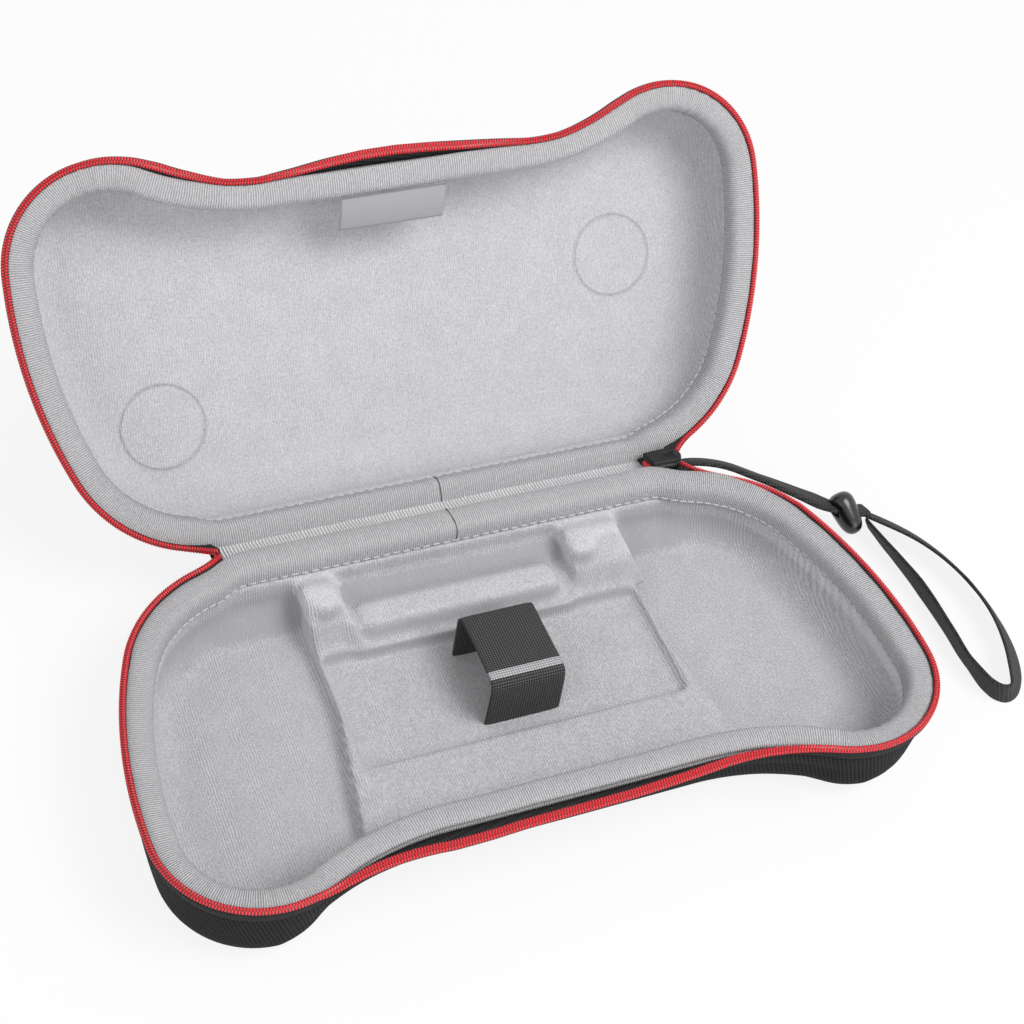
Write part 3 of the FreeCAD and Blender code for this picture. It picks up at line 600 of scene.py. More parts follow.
def ring_marks(tree):
    """1 on the pressed rings of the lid's lining."""
    where = tree.nodes.new("ShaderNodeTexCoord")
    masks = []
    for centre in RING_CENTRES:
        reach = tree.nodes.new("ShaderNodeVectorMath")
        reach.operation = "DISTANCE"
        reach.inputs[1].default_value = [value * MM for value in centre]
        tree.links.new(where.outputs["Object"], reach.inputs[0])
        masks.append(place_group(tree, RING, Distance=reach.outputs["Value"], Radius=RING_RADIUS, Width=0.8)["Mask"])
    return calc(tree, "ADD", masks[0], masks[1], clamp=True)


def brushed_tone(tree):
    """Mottled nap with faint ribs, and darker rings."""
    ribs = place_group(tree, RIBS, Along=place_group(tree, BODY_MAP)["Along"], Pitch=0.8, Wander=1.2)["Height"]
    cloth = blend_of(tree, place_group(tree, MOTTLE, Contrast=1.15)["Tone"], ribs, 0.22)
    return calc(tree, "SUBTRACT", cloth, calc(tree, "MULTIPLY", ring_marks(tree), 0.2), clamp=True)


def tray_tone_painted_shade(tree):
    """Brushed cloth with painted shade where it faces the front and low down at the back, and painted light on what is
    raised.
    """
    where = tree.nodes.new("ShaderNodeTexCoord")
    split = tree.nodes.new("ShaderNodeSeparateXYZ")
    tree.links.new(where.outputs["Normal"], split.inputs[0])
    # Painted shade: where the cloth faces the front, and low down at the back.
    front_facing_shade = calc(tree, "MULTIPLY_ADD", split.outputs["Y"], *FRONT_FACING_SHADE_RAMP, clamp=True)
    place = tree.nodes.new("ShaderNodeSeparateXYZ")
    tree.links.new(where.outputs["Object"], place.inputs[0])
    back = calc(tree, "MULTIPLY_ADD", place.outputs["Y"], *BACK_SHADE_RAMP, clamp=True)
    low = calc(tree, "MULTIPLY_ADD", place.outputs["Z"], *LOW_SHADE_RAMP, clamp=True)
    hollow = calc(tree, "MAXIMUM", front_facing_shade, calc(tree, "MULTIPLY", calc(tree, "MULTIPLY", back, low), 0.8))
    # Painted light: lighter on what is raised.
    raised_light = calc(tree, "MULTIPLY_ADD", place.outputs["Z"], *RAISED_LIGHT_RAMP, clamp=True)
    ribs = place_group(tree, RIBS, Along=place_group(tree, BODY_MAP)["Along"], Pitch=0.85, Wander=1.0)["Height"]
    lifted = calc(tree, "ADD", calc(tree, "MULTIPLY_ADD", raised_light, 0.34, brushed_tone(tree)),
                  calc(tree, "MULTIPLY_ADD", ribs, 0.24, -0.12))
    return calc(tree, "SUBTRACT", lifted, calc(tree, "MULTIPLY_ADD", hollow, 0.7, 0.12), clamp=True)


def brushed_height(tree):
    """Nap with faint ribs, sunk along the rings."""
    ribs = place_group(tree, RIBS, Along=place_group(tree, BODY_MAP)["Along"], Pitch=0.8, Wander=1.2)["Height"]
    cloth = blend_of(tree, place_group(tree, MOTTLE, Contrast=1.0)["Nap"], ribs, 0.35)
    return calc(tree, "SUBTRACT", cloth, calc(tree, "MULTIPLY", ring_marks(tree), 1.6))


print("masks", brushed_tone.__name__, tray_tone_painted_shade.__name__, brushed_height.__name__)

# %% [markdown]
# Binding and hinge strip are ribbed tape. Shells, zipper tape, elastic, webbing and label are
# woven. A function of the pitch or the thread makes each mask, so a new cloth needs only a
# number or two. The elastic has a painted highlight, a pale stripe just behind its front edge,
# where it bends over the bar.

# %% Masks of ribbed and woven cloth
# Where along the band the painted highlight lies, on its bend over the bar's front edge.
BEND_HIGHLIGHT_SPAN = (41.6, 44.2)


def ribbed_height(pitch, wander=0.35):
    """Ribs along the cloth map at a pitch in millimetres."""
    def height(tree):
        return place_group(tree, RIBS, Along=place_group(tree, CLOTH_MAP)["Along"],
                           Pitch=pitch, Wander=wander)["Height"]
    return height


def ribbed_tone(pitch, share=0.55):
    """The same ribs, with some of the mottle."""
    def tone(tree):
        ribs = ribbed_height(pitch)(tree)
        return blend_of(tree, place_group(tree, MOTTLE, Contrast=0.8)["Tone"], ribs, share)
    return tone


def woven(thread, slant=0.0):
    """Weave on the cloth map; thread is a thread's width in millimetres."""
    def height(tree):
        cloth = place_group(tree, CLOTH_MAP)
        return place_group(tree, WEAVE, Along=cloth["Along"], Across=cloth["Across"], Thread=thread,
                           Slant=slant)["Height"]
    return height


def knit_with_bend_highlight(tree):
    """Knit of the band, with a painted highlight: a pale stripe where it bends over the front."""
    knit = woven(0.8, 1.0)(tree)
    along = place_group(tree, CLOTH_MAP)["Along"]
    past = calc(tree, "GREATER_THAN", along, BEND_HIGHLIGHT_SPAN[0])
    before = calc(tree, "LESS_THAN", along, BEND_HIGHLIGHT_SPAN[1])
    highlight_span = calc(tree, "MULTIPLY", past, before)
    painted_highlight = calc(tree, "MULTIPLY", highlight_span, calc(tree, "MULTIPLY_ADD", knit, 0.55, 0.3))
    return calc(tree, "MULTIPLY_ADD", calc(tree, "POWER", knit, 2.0), 0.2, painted_highlight, clamp=True)


def even(value):
    """Almost one tone, with a trace of mottle."""
    def tone(tree):
        return calc(tree, "MULTIPLY_ADD", place_group(tree, MOTTLE, Contrast=0.6)["Tone"], 0.3, value - 0.15)
    return tone


print("masks", ribbed_tone.__name__, woven.__name__, knit_with_bend_highlight.__name__, even.__name__)

# %% [markdown]
# The greys are a trace blue, like the photographed cloth, and rough, with a little sheen from
# their nap. The blacks are lifted black that hardly shines. The label is a smooth satin.

# %% Cloth finishes
lining_cloth = finish("grey_brushed_cloth", (0.395, 0.395, 0.415), (0.665, 0.665, 0.695), brushed_tone,
                      brushed_height, 0.3, roughness=0.95, sheen=0.15, specular=0.2)
# The tray's tone holds painted shade and painted light.
tray_cloth = finish("grey_tray_cloth", (0.38, 0.38, 0.395), (0.70, 0.70, 0.725), tray_tone_painted_shade,
                    brushed_height, 0.35, roughness=0.95, sheen=0.15, specular=0.2)
binding_cloth = finish("grey_ribbed_binding", (0.26, 0.26, 0.27), (0.74, 0.74, 0.76), ribbed_tone(0.72),
                       ribbed_height(0.72), 0.3, roughness=0.8, sheen=0.1, specular=0.25)
# The hinge's tones are lighter than the binding's: painted light against the crease's shade.
hinge_cloth = finish("grey_ribbed_hinge", (0.54, 0.54, 0.555), (0.97, 0.97, 0.985), ribbed_tone(1.05, 0.8),
                     ribbed_height(1.05, 0.6), 0.5, roughness=0.85, sheen=0.1, specular=0.25)
shell_nylon = finish("black_woven_nylon", (0.002, 0.002, 0.0023), (0.037, 0.037, 0.039), woven(0.95, 0.5),
                     woven(0.95, 0.5), 0.3, roughness=0.8, sheen=0.0, specular=0.1)
tape_cloth = finish("black_zip_tape", (0.003, 0.003, 0.0035), (0.036, 0.036, 0.038), woven(0.75, 0.8),
                    woven(0.75, 0.8), 0.2, roughness=0.75, specular=0.3)
# Its light tone is mostly the painted highlight on the band's bend.
elastic_cloth = finish("black_knit_elastic", (0.004, 0.004, 0.0045), (0.62, 0.62, 0.64), knit_with_bend_highlight,
                       woven(0.8, 1.0), 0.3, roughness=0.65, specular=0.35)
webbing_cloth = finish("black_flat_webbing", (0.004, 0.004, 0.0045), (0.052, 0.052, 0.055), woven(1.0, 0.6),
                       woven(0.7, 0.6), 0.3, roughness=0.7, specular=0.35)
label_cloth = finish("grey_label_satin", (0.33, 0.33, 0.345), (0.40, 0.40, 0.415), woven(0.3),
                     woven(0.3), 0.04, roughness=0.6, sheen=0.1)
print("materials so far", len(bpy.data.materials))

# %% [markdown]
# The threads and the small hard parts are almost even in colour. The slider is enamelled, so
# it is duller than the moulded bead, which has a clear highlight.

# %% Threads, enamel and plastic
shadow_thread = finish("dark_seam_thread", (0.06, 0.06, 0.06), (0.14, 0.14, 0.14), even(0.5), even(0.5), 0.02,
                       roughness=0.9, specular=0.1)
thread = finish("pale_thread", (0.38, 0.38, 0.39), (0.66, 0.66, 0.67), even(0.6), even(0.6), 0.02, roughness=0.7)
slider_metal = finish("black_slider_enamel", (0.004, 0.004, 0.0045), (0.012, 0.012, 0.0125), even(0.5),
                      even(0.5), 0.02, roughness=0.45, coat=0.04, specular=0.28)
bead_plastic = finish("black_bead_plastic", (0.004, 0.004, 0.0045), (0.010, 0.010, 0.011), even(0.5),
                      even(0.5), 0.01, roughness=0.24, coat=0.3)
print("bead", bead_plastic.name)

# %% [markdown]
# The coil is dyed nylon wire, glossy on top. Light hardly reaches between its turns, so the
# material darkens the gaps at the coil's own pitch. Across the coil the map runs once
# round its section, which tells the two rows of beads apart.

# %% Coil finish
COIL_PITCH = 0.87
COIL_ROUND = 6.0


def coil_gap(tree):
    """1 on a tooth, 0 in the gap after it. The inner row lies half a pitch behind the outer."""
    cloth = place_group(tree, CLOTH_MAP)
    past = calc(tree, "GREATER_THAN", cloth["Across"], COIL_ROUND * 0.25)
    before = calc(tree, "LESS_THAN", cloth["Across"], COIL_ROUND * 0.75)
    shift = calc(tree, "MULTIPLY", calc(tree, "MULTIPLY", past, before), 0.5 * COIL_PITCH)
    along = calc(tree, "ADD", cloth["Along"], shift)
    wave = place_group(tree, RIBS, Along=along, Pitch=COIL_PITCH, Wander=0.0)["Height"]
    return calc(tree, "MULTIPLY", calc(tree, "SUBTRACT", wave, 0.2), 1.7, clamp=True)


coil_nylon = finish("red_coil_nylon", (0.15, 0.003, 0.006), (0.80, 0.019, 0.030), coil_gap,
                    even(0.5), 0.01, roughness=0.34, coat=0.15, specular=0.4)
print("materials", len(bpy.data.materials))

# %% [markdown]
# The two shells are pressed from foam sheet, so each has one even wall, sides that lean in,
# and a large round edge. The section is a straight wall, an arc that touches both, and the
# start of the flat.

# %% Section of a bowl
RIM_DROP = 4.6
WALL_OUT = 0.6
BASE_WALL = 3.4
LID_WALL = 2.4
BASE_LEAN = 0.083
LID_LEAN = 0.11
BASE_ROUND = 13.5
LID_ROUND = 18.0


def bowl_section(grow, lean, top, bottom, rounding, steps=12):
    """Section of a round-bottomed bowl as rows of (grow, height), from its edge to its flat."""
    corner = np.array([grow + lean * (bottom + RIM_DROP), bottom])
    wall = np.array([lean, 1.0]) / math.hypot(lean, 1.0)
    flat = np.array([-1.0, 0.0])
    half = 0.5 * math.acos(float(wall @ flat))
    bisector = (wall + flat) / np.linalg.norm(wall + flat)
    centre = corner + bisector * rounding / math.sin(half)
    start = corner + wall * rounding / math.tan(half) - centre
    end = corner + flat * rounding / math.tan(half) - centre
    first = math.atan2(start[1], start[0])
    last = math.atan2(end[1], end[0])
    if last > first:
        last -= 2.0 * math.pi
    turn = np.linspace(first, last, steps)
    arc = centre + rounding * np.stack([np.cos(turn), np.sin(turn)], -1)
    edge = np.array([grow + lean * (top + RIM_DROP), top])
    down = np.linspace(0.0, 1.0, 6)[:-1, None]
    return np.vstack([edge * (1 - down) + arc[0] * down, arc])


print("section points", len(bowl_section(WALL_OUT, BASE_LEAN, -RIM_DROP, -BASE_HEIGHT, BASE_ROUND)))

# %% [markdown]
# A section is swept by setting it at every station of the rim. Sewn cloth is never quite
# even, so lining, bindings and stitches add a ripple: a few waves, a tenth or two of a
# millimetre high, that close on themselves round the rim.

# %% Sweeps and ripples
RIM_ALONG = np.append(RIM[:, 4], RIM_LENGTH)


def swept(section, rows):
    """A (grow, height) section, set at every station in a rim's frame."""
    return np.stack([offset_ring(rows, grow, height) for grow, height in section], 1)


def ripple(distance, length, cycles, amount, seed):
    """Smooth wander along a closed seam; cycles are whole turns round it."""
    dice = np.random.default_rng(seed)
    total = np.zeros_like(distance)
    for count in cycles:
        total += dice.uniform(0.5, 1.0) * np.sin(2.0 * math.pi * count * distance / length
                                                 + dice.uniform(0.0, 2.0 * math.pi))
    return amount * total / math.sqrt(len(cycles))


print("sweep of %.1f mm in %d steps" % (RIM_ALONG[-1], len(RIM)))

# %% [markdown]
# A finished piece has one material, and the pieces of the CAD model it stands for are
# hidden. Some pieces are pushed into shape afterwards, vertex by vertex.

# %% Dressing and reshaping a piece
def dress(piece, material, slot_name, *nodes):
    """Finish a piece: its material, and the CAD nodes it stands for, which are hidden. slot_name is not used."""
    piece.data.materials.clear()
    piece.data.materials.append(material)
    if nodes:
        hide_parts(*nodes)
    return piece


def spots_of(piece):
    """Vertices of a piece, in millimetres."""
    return np.array([tuple(v.co) for v in piece.data.vertices]) / MM


def move_spots(piece, spots):
    """Give a piece's vertices new places, in millimetres."""
    piece.data.vertices.foreach_set("co", (spots * MM).ravel())
    piece.data.update()


print("helpers", dress.__name__, spots_of.__name__, move_spots.__name__)

# %% [markdown]
# Each shell is one sweep: up the outside, over the rim and down the inside, with the flats as
# one face each. At the front waist the base's wall is drawn in below its rim, most in the
# middle, as the photograph shows. The rim itself keeps its line.

# %% Shells
WAIST_PULL = ((0, 3.0), (50, 3.2), (62, 3.3), (74, 3.0), (84, 1.2), (92, 0.0))
PULL_START = 8.0
PULL_FADE = 9.0


def draw_in_waist(shell, columns, outer):
    """Pull the wall in below the rim along the front waist; outer counts the outside's columns."""
    spots = spots_of(shell).reshape(len(RIM), columns, 3)
    pull_in = np.interp(np.abs(RIM[:, 0]), *zip(*WAIST_PULL)) * (RIM[:, 1] > FRONT_FROM)
    depth_share = eased((BASE_HEIGHT - PULL_START - spots[:, :outer, 2]) / PULL_FADE)
    amount = pull_in[:, None] * depth_share
    spots[:, :outer, 0] -= RIM[:, None, 2] * amount
    spots[:, :outer, 1] += RIM[:, None, 3] * amount
    move_spots(shell, spots)


for half, height, wall, lean, rounding in (("base", BASE_HEIGHT, BASE_WALL, BASE_LEAN, BASE_ROUND),
                                           ("lid", LID_HEIGHT, LID_WALL, LID_LEAN, LID_ROUND)):
    place, body = HALVES[half]
    outside = bowl_section(WALL_OUT, lean, -RIM_DROP, -height, rounding)
    inside = bowl_section(WALL_OUT - wall, lean, -RIM_DROP, wall - height, rounding - wall)
    section = np.vstack([outside[::-1], inside])
    shell = skin(half + "_shell_cloth", place(swept(section, RIM)), RIM_ALONG, lengths_along(section),
                 wrap_rows=True, fill=("first_column", "last_column"))
    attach(shell, body)
    if half == "base":
        draw_in_waist(shell, len(section), len(outside))
    dress(shell, shell_nylon, "shell_nylon", half + "_shell")
    print(shell.name, len(shell.data.polygons))

# %% [markdown]
# The lid's lining is brushed cloth over the foam. It starts under the binding's leg, runs
# down the wall and the fillet, and closes over the flat. Near its top it is pulled tight and
# stands off the wall by up to 3 mm. Its rows shrink towards a short line in the middle of
# the flat, so that faces stay even without an odd pole.

# %% Lining of the lid
LINING = 1.0
GLUE = 0.25
LINING_TOP = -7.2
STAND_OFF = 3.0
SPINE_DEPTH = 54.0
SPINE_SHARE = 0.55
FLAT_ROWS = 62
wall_section = bowl_section(WALL_OUT - LID_WALL - GLUE - LINING, LID_LEAN, LINING_TOP,
                            LID_WALL + GLUE + LINING - LID_HEIGHT, LID_ROUND - LID_WALL - LINING, steps=16)
wall_section[:, 0] -= STAND_OFF * np.clip((wall_section[:, 1] + 17.0) / 10.0, 0.0, 1.0) ** 2
wall_points = swept(wall_section, RIM)
drift = ripple(RIM[:, 4], RIM_LENGTH, (7, 12, 19, 31), 0.12, 5)
wall_points[:, :, :2] += RIM[:, None, 2:4] * drift[:, None, None]
foot = wall_points[:, -1]
spine = np.stack([foot[:, 0] * SPINE_SHARE, np.full(len(RIM), SPINE_DEPTH), foot[:, 2]], -1)
shares = np.linspace(0.0, 1.0, FLAT_ROWS)[None, 1:, None]
flat_points = foot[:, None] * (1 - shares) + spine[:, None] * shares
under = offset_ring(RIM, wall_section[0, 0] + 1.2, LINING_TOP + 0.3)[:, None]
points = np.concatenate([under, wall_points, flat_points], 1)
lid_lining_skin = skin("lid_brushed_lining", on_lid(points), RIM_ALONG, lengths_along(points[0]), wrap_rows=True)
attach(lid_lining_skin, "case_lid")
dress(lid_lining_skin, lining_cloth, "lining", "lid_lining")
print("lining faces", len(lid_lining_skin.data.polygons))

# %% [markdown]
# The binding is a padded tape folded over the wall's edge. It has a flattened crown, an outer
# lip that rolls over the wall and ends in a thin hem, and a leg inside that is sewn down.
# Along the hinge a thick seam carries it further out. Its size wanders by a quarter of a
# millimetre, and it puckers a little where it turns round the tight lobes. The ribs across
# it are too fine for mesh, so they stay in the material.

# %% Bindings
CROWN_SWELL = 0.13
PUCKER = 0.3
CROWN_SWAY = 0.15
HINGE_PUSH = {"base": 3.4, "lid": 1.8}
HINGE_LEG = {"base": 1.0, "lid": 0.8}
BINDING_CORNERS = [(0.15, -4.45), (0.8, -4.3), (0.9, -2.8), (0.3, -2.3), (1.0, -1.6), (0.85, -0.35),
                   (-1.8, 0.12), (-5.7, -0.35), (-7.1, -1.9), (-7.45, -4.0), (-7.3, -7.7), (-4.7, -7.7),
                   (-4.7, -4.7)]


def tight_turns(rows):
    """1 where the rim turns tightly round a lobe, 0 elsewhere."""
    return np.exp(-((np.abs(rows[:, 0]) - 100.0) / 14.0) ** 2) * np.clip((rows[:, 1] - 70.0) / 20.0, 0, 1)


def at_hinge(rows):
    """1 along the hinge edge, fading to 0 in the corners."""
    return eased((80.0 - np.abs(rows[:, 0])) / 12.0) * (rows[:, 1] < 20.0)


def pushed(rows, half):
    """Rim rows, moved out along the hinge edge, where the thick seam carries the binding."""
    moved = rows.copy()
    moved[:, :2] += rows[:, 2:4] * (HINGE_PUSH[half] * at_hinge(rows))[:, None]
    return moved


def binding_points(section, rows, seed):
    """Section swept with its crown breathing in and out."""
    points = swept(section, rows)
    swell = ripple(rows[:, 4], RIM_LENGTH, (6, 11, 17, 29, 47), CROWN_SWELL, seed)
    puckers = tight_turns(rows) * ripple(rows[:, 4], RIM_LENGTH, (131, 149, 163), PUCKER, seed + 3)
    crown = np.clip((section[:, 1] + 4.0) / 4.0, 0.0, 1.0)
    points[:, :, 2] += (swell + puckers)[:, None] * crown[None]
    inner = np.clip((-section[:, 0] - 5.5) / 1.5, 0.0, 1.0)
    points[:, :, :2] += rows[:, None, 2:4] * (1.6 * puckers)[:, None, None] * inner[None, :, None]
    sway = ripple(rows[:, 4], RIM_LENGTH, (5, 9, 16, 25), CROWN_SWAY, seed + 7)
    points[:, :, :2] += rows[:, None, 2:4] * sway[:, None, None] * crown[None, :, None]
    return points


binding_section = rounded(BINDING_CORNERS, 1.0)
binding_across = lengths_along(np.vstack([binding_section, binding_section[:1]]))
for half, seed in (("base", 11), ("lid", 12)):
    place, body = HALVES[half]
    points = binding_points(binding_section, pushed(RIM, half), seed)
    points[:, :, 2] *= 1.0 - (1.0 - HINGE_LEG[half]) * at_hinge(RIM)[:, None]
    tape = skin(half + "_ribbed_binding", place(points), RIM_ALONG, binding_across, wrap_rows=True, wrap_columns=True)
    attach(tape, body)
    dress(tape, binding_cloth, "binding", half + "_binding")
    print(tape.name, len(tape.data.polygons))

# %% [markdown]
# Each binding is one length of tape, so its two ends meet somewhere. Here they meet near the
# middle of the hinge, and the joint shows as a thin dark line across the tape. A narrow
# ring, hardly higher than the cloth, follows the binding's own section. The base's runs a
# little askew.

# %% Butt seams of the bindings
SEAM_X = {"base": -1.0, "lid": 1.6}
SEAM_SKEW = {"base": 0.9, "lid": 0.0}
SEAM_SECTION = ((-0.16, -0.3), (0.16, -0.3), (0.16, 0.14), (-0.16, 0.14))
BINDING_SPAN = 7.0
for half in ("base", "lid"):
    place, body = HALVES[half]
    middle = binding_section.mean(0)
    ring = []
    for grow, height in binding_section:
        way = unit(np.array([grow, height]) - middle)
        out = HINGE_PUSH[half] + grow
        x = SEAM_X[half] + SEAM_SKEW[half] * (-grow / BINDING_SPAN)
        ring.append([(x + side, -(out + way[0] * lift), height * HINGE_LEG[half] + way[1] * lift)
                     for side, lift in SEAM_SECTION])
    seam = skin(half + "_binding_seam", place(np.array(ring)), np.linspace(0, 30, len(ring) + 1),
                np.linspace(0, 2, 5), wrap_rows=True, wrap_columns=True)
    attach(seam, body)
    dress(seam, shadow_thread, "thread")
print("seams at", SEAM_X)

# %% [markdown]
# The binding is sewn down through its leg. Each stitch is a short capsule of pale thread that
# sinks a little into the cloth at both ends. A stitch is copied along the leg's lower edge
# at one pitch.

# %% Rows of stitches
STITCH_PITCH = 3.3
STITCH_LENGTH = 2.3
STITCH_RADIUS = 0.28
LEG_FACE = -7.46
LEG_FOOT = -6.45


def capsules(centres, headings, length, radius, sides=6):
    """Vertices and faces of many short round bars."""
    vertices = []
    faces = []
    for centre, heading in zip(centres, headings):
        heading = unit(heading)
        side = unit(np.cross(heading, (0.31, 0.52, 0.79)))
        upright = np.cross(heading, side)
        start = len(vertices)
        for share, width in ((-0.5, 0.35), (-0.38, 0.9), (0.0, 1.0), (0.38, 0.9), (0.5, 0.35)):
            for number in range(sides):
                turned = 2.0 * math.pi * number / sides
                vertices.append(centre + heading * share * length
                                + (side * math.cos(turned) + upright * math.sin(turned)) * radius * width)
        for ring in range(4):
            for number in range(sides):
                a = start + ring * sides + number
                b = start + ring * sides + (number + 1) % sides
                faces.append((a, b, b + sides, a + sides))
        faces.append(tuple(start + number for number in range(sides))[::-1])
        faces.append(tuple(start + 4 * sides + number for number in range(sides)))
    return vertices, faces


def spots_along(rows, pitch):
    """Rim rows at an even pitch, by linear steps between stations."""
    loop = np.vstack([rows, rows[:1] + np.array([0, 0, 0, 0, RIM_LENGTH])])
    return resampled(loop, loop[:, 4], np.arange(0.0, RIM_LENGTH, pitch))


stitch_rows = spots_along(RIM, STITCH_PITCH)
for half in ("base", "lid"):
    place, body = HALVES[half]
    wander = ripple(stitch_rows[:, 4], RIM_LENGTH, (37, 59, 83), 0.12, 21)
    drop = (wander + LEG_FOOT) * (1.0 - (1.0 - HINGE_LEG[half]) * at_hinge(stitch_rows))
    middle = place(offset_ring(pushed(stitch_rows, half), LEG_FACE, drop))
    ahead = np.roll(middle, -1, axis=0) - np.roll(middle, 1, axis=0)
    stitches = mesh_piece(half + "_stitches", *capsules(middle, ahead, STITCH_LENGTH, STITCH_RADIUS))
    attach(stitches, body)
    dress(stitches, thread, "thread", half + "_stitching")
    print(stitches.name, len(middle))

# %% [markdown]
# Three pieces start from a copy of a shape that exists: the tray and the slider from the CAD
# model's, the bead from a turned barrel. Blocks may be joined on first. Modifiers then
# remesh, smooth, bevel or cut the copy, and the result is kept as plain mesh.

# %% Copies with modifiers
def modified_copy(source, name, settings, blocks=()):
    """New mesh object: a CAD node's shape, with blocks joined on, after a list of modifiers."""
    mesh = source.data.copy()
    mesh.transform(source.matrix_world)
    mesh.materials.clear()
    if len(blocks):
        joined = bmesh.new()
        joined.from_mesh(mesh)
        for block in blocks:
            corners = [joined.verts.new(Vector(corner) * MM) for corner in block]
            bmesh.ops.convex_hull(joined, input=corners)
        joined.to_mesh(mesh)
        joined.free()
    piece = bpy.data.objects.new(name, mesh)
    bpy.context.scene.collection.objects.link(piece)
    for kind, values in settings:
        modifier = piece.modifiers.new(kind, kind)
        for key, value in values.items():
            setattr(modifier, key, value)
    bpy.context.view_layer.update()
    graph = bpy.context.evaluated_depsgraph_get()
    final = bpy.data.meshes.new_from_object(piece.evaluated_get(graph))
    piece.modifiers.clear()
    piece.data = final
    piece.data.polygons.foreach_set("use_smooth", [True] * len(piece.data.polygons))
    return piece

print("nodes to copy", len(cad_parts))

# %% [markdown]
# The tray is one foam moulding under the same brushed cloth. The CAD solid has its exact
# pockets, platform, block and posts, but sharp seams where pockets meet the platform. Two
# shoulders with sloping sides are joined on at the back. A voxel remesh then gives even
# faces, and a few smoothing passes turn each seam into the soft fold that cloth makes over
# foam. Last, the ledge between the shoulders moves back, and the tray's back edge moves
# out under the binding.

# %% Tray
TRAY_VOXEL = 1.15
LEDGE_SHIFT = 3.4
BACK_TUCK = 1.6
SHOULDER_FOOT = 12.0


def shoulder(low_x, high_x, top):
    """Corners of a block that slopes down to the front and to both sides."""
    foot = [(x, MIDDLE - depth, SHOULDER_FOOT) for depth in (6.0, 29.0) for x in (low_x, high_x + 6.0)]
    crown = [(x, MIDDLE - depth, top) for depth in (9.0, 13.5) for x in (low_x, high_x)]
    return foot + crown


shoulders = [shoulder(34.2, 52.0, BASE_HEIGHT - 6.3), shoulder(-53.0, -43.0, BASE_HEIGHT - 6.1)]
tray = modified_copy(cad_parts["base_tray"], "tray_brushed_foam", [
    ("REMESH", {"mode": "VOXEL", "voxel_size": TRAY_VOXEL * MM}),
    ("SMOOTH", {"factor": 0.5, "iterations": 8})], shoulders)
spots = spots_of(tray)
spot_depth = MIDDLE - spots[:, 1]
ledge_part = eased((spot_depth - 6.5) / 4.5) * (1.0 - eased((spot_depth - 23.0) / 10.0))
ledge_part *= eased((spots[:, 0] + 43.5) / 5.0) * (1.0 - eased((spots[:, 0] - 29.0) / 5.0))
back_part = eased((9.5 - spot_depth) / 3.0) * eased((80.0 - np.abs(spots[:, 0])) / 10.0)
spots[:, 1] += BACK_TUCK * back_part - LEDGE_SHIFT * ledge_part
move_spots(tray, spots)
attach(tray, "case_base")
dress(tray, tray_cloth, "lining", "base_tray")
print("tray faces", len(tray.data.polygons))

# %% [markdown]
# The zipper's tape is straight cloth that won't follow a tight hollow, so at the waist it
# stands off from the wall, further on the base than on the lid. The tables give this
# distance by place along the front, as the photograph shows it. Where the tape stands off,
# the coil also turns its face up and shows its whole width.

# %% How far the zipper stands off
ZIP_PLACE = {"base": (1.3, 0.5), "lid": (1.42, -0.1)}
ZIP_WAIST = {
    "base": ((-95, 0.0), (-84, 0.1), (-74, 2.0), (-64, 3.4), (-54, 4.8), (-43, 6.1), (-32, 6.0), (-21, 5.5),
             (0, 5.3), (11, 5.15), (21, 4.7), (32, 4.05), (43, 3.2), (54, 2.5), (64, 1.8), (74, 1.0), (84, 0.1),
             (95, 0.0)),
    "lid": ((-95, 0.0), (-84, 0.5), (-74, 1.4), (-64, 0.9), (-54, 0.0), (-43, 0.1), (-32, 1.05), (-21, 2.35),
            (-11, 3.2), (0, 3.3), (11, 2.7), (21, 1.85), (32, 1.05), (43, 0.15), (54, -0.4), (64, 0.0), (74, 0.6),
            (84, 0.15), (95, 0.0))}
STEP_OUT = 3.0
TABLE_BLUR = 13


def stand_off(half, rows):
    """How far the tape carries the coil beyond its usual place, by station."""
    table = np.array(ZIP_WAIST[half], float)
    extra = np.interp(rows[:, 0], table[:, 0], table[:, 1]) * (rows[:, 1] > FRONT_FROM)
    window = np.hanning(TABLE_BLUR + 2)[1:-1]
    padded = np.concatenate([extra[-TABLE_BLUR:], extra, extra[:TABLE_BLUR]])
    return np.convolve(padded, window / window.sum(), "same")[TABLE_BLUR:-TABLE_BLUR]


def freedom(extra):
    """0 where the coil lies on the wall, 1 where it stands well off."""
    return np.clip(extra / STEP_OUT, 0.0, 1.0)


def coil_half_width(extra):
    """A coil that stands off shows its whole width; elsewhere its sides are rolled in."""
    return 1.02 + 0.5 * freedom(extra)


print("most stand-off", {half: max(out for _, out in table) for half, table in ZIP_WAIST.items()})

# %% [markdown]
# At the left end the two coils meet in a V, where the closed chain would start. At the right
# end both turn into the slider's mouth. Each end is a smooth bend from the last stretch of
# the line to its target.

# %% Ends of the zipper
ZIP_V = np.array([-73.8, 65.2, 28.6])
V_GAP = {"base": -0.9, "lid": 0.9}
SLIDER_MOUTH = {"base": np.array([81.6, 64.2, 28.2]), "lid": np.array([81.6, 66.8, 28.0])}
ZIP_TURN = 9.0
BEND_POINTS = 39


def bend(line, index, target, way):
    """Smooth turn from one point of a line to an end."""
    start = line[index]
    knee = start + unit(line[index + way] - start) * np.linalg.norm(target - start) * 0.55
    share = np.linspace(0.0, 1.0, BEND_POINTS + 1)[1:, None]
    return start * (1 - share) ** 2 + knee * 2 * share * (1 - share) + target * share ** 2


def with_ends(values, head, tail):
    """Values of a line whose two ends are replaced by bends, held even along these."""
    return np.concatenate([np.repeat(values[head:head + 1], BEND_POINTS, 0), values[head:tail + 1],
                           np.repeat(values[tail:tail + 1], BEND_POINTS, 0)])


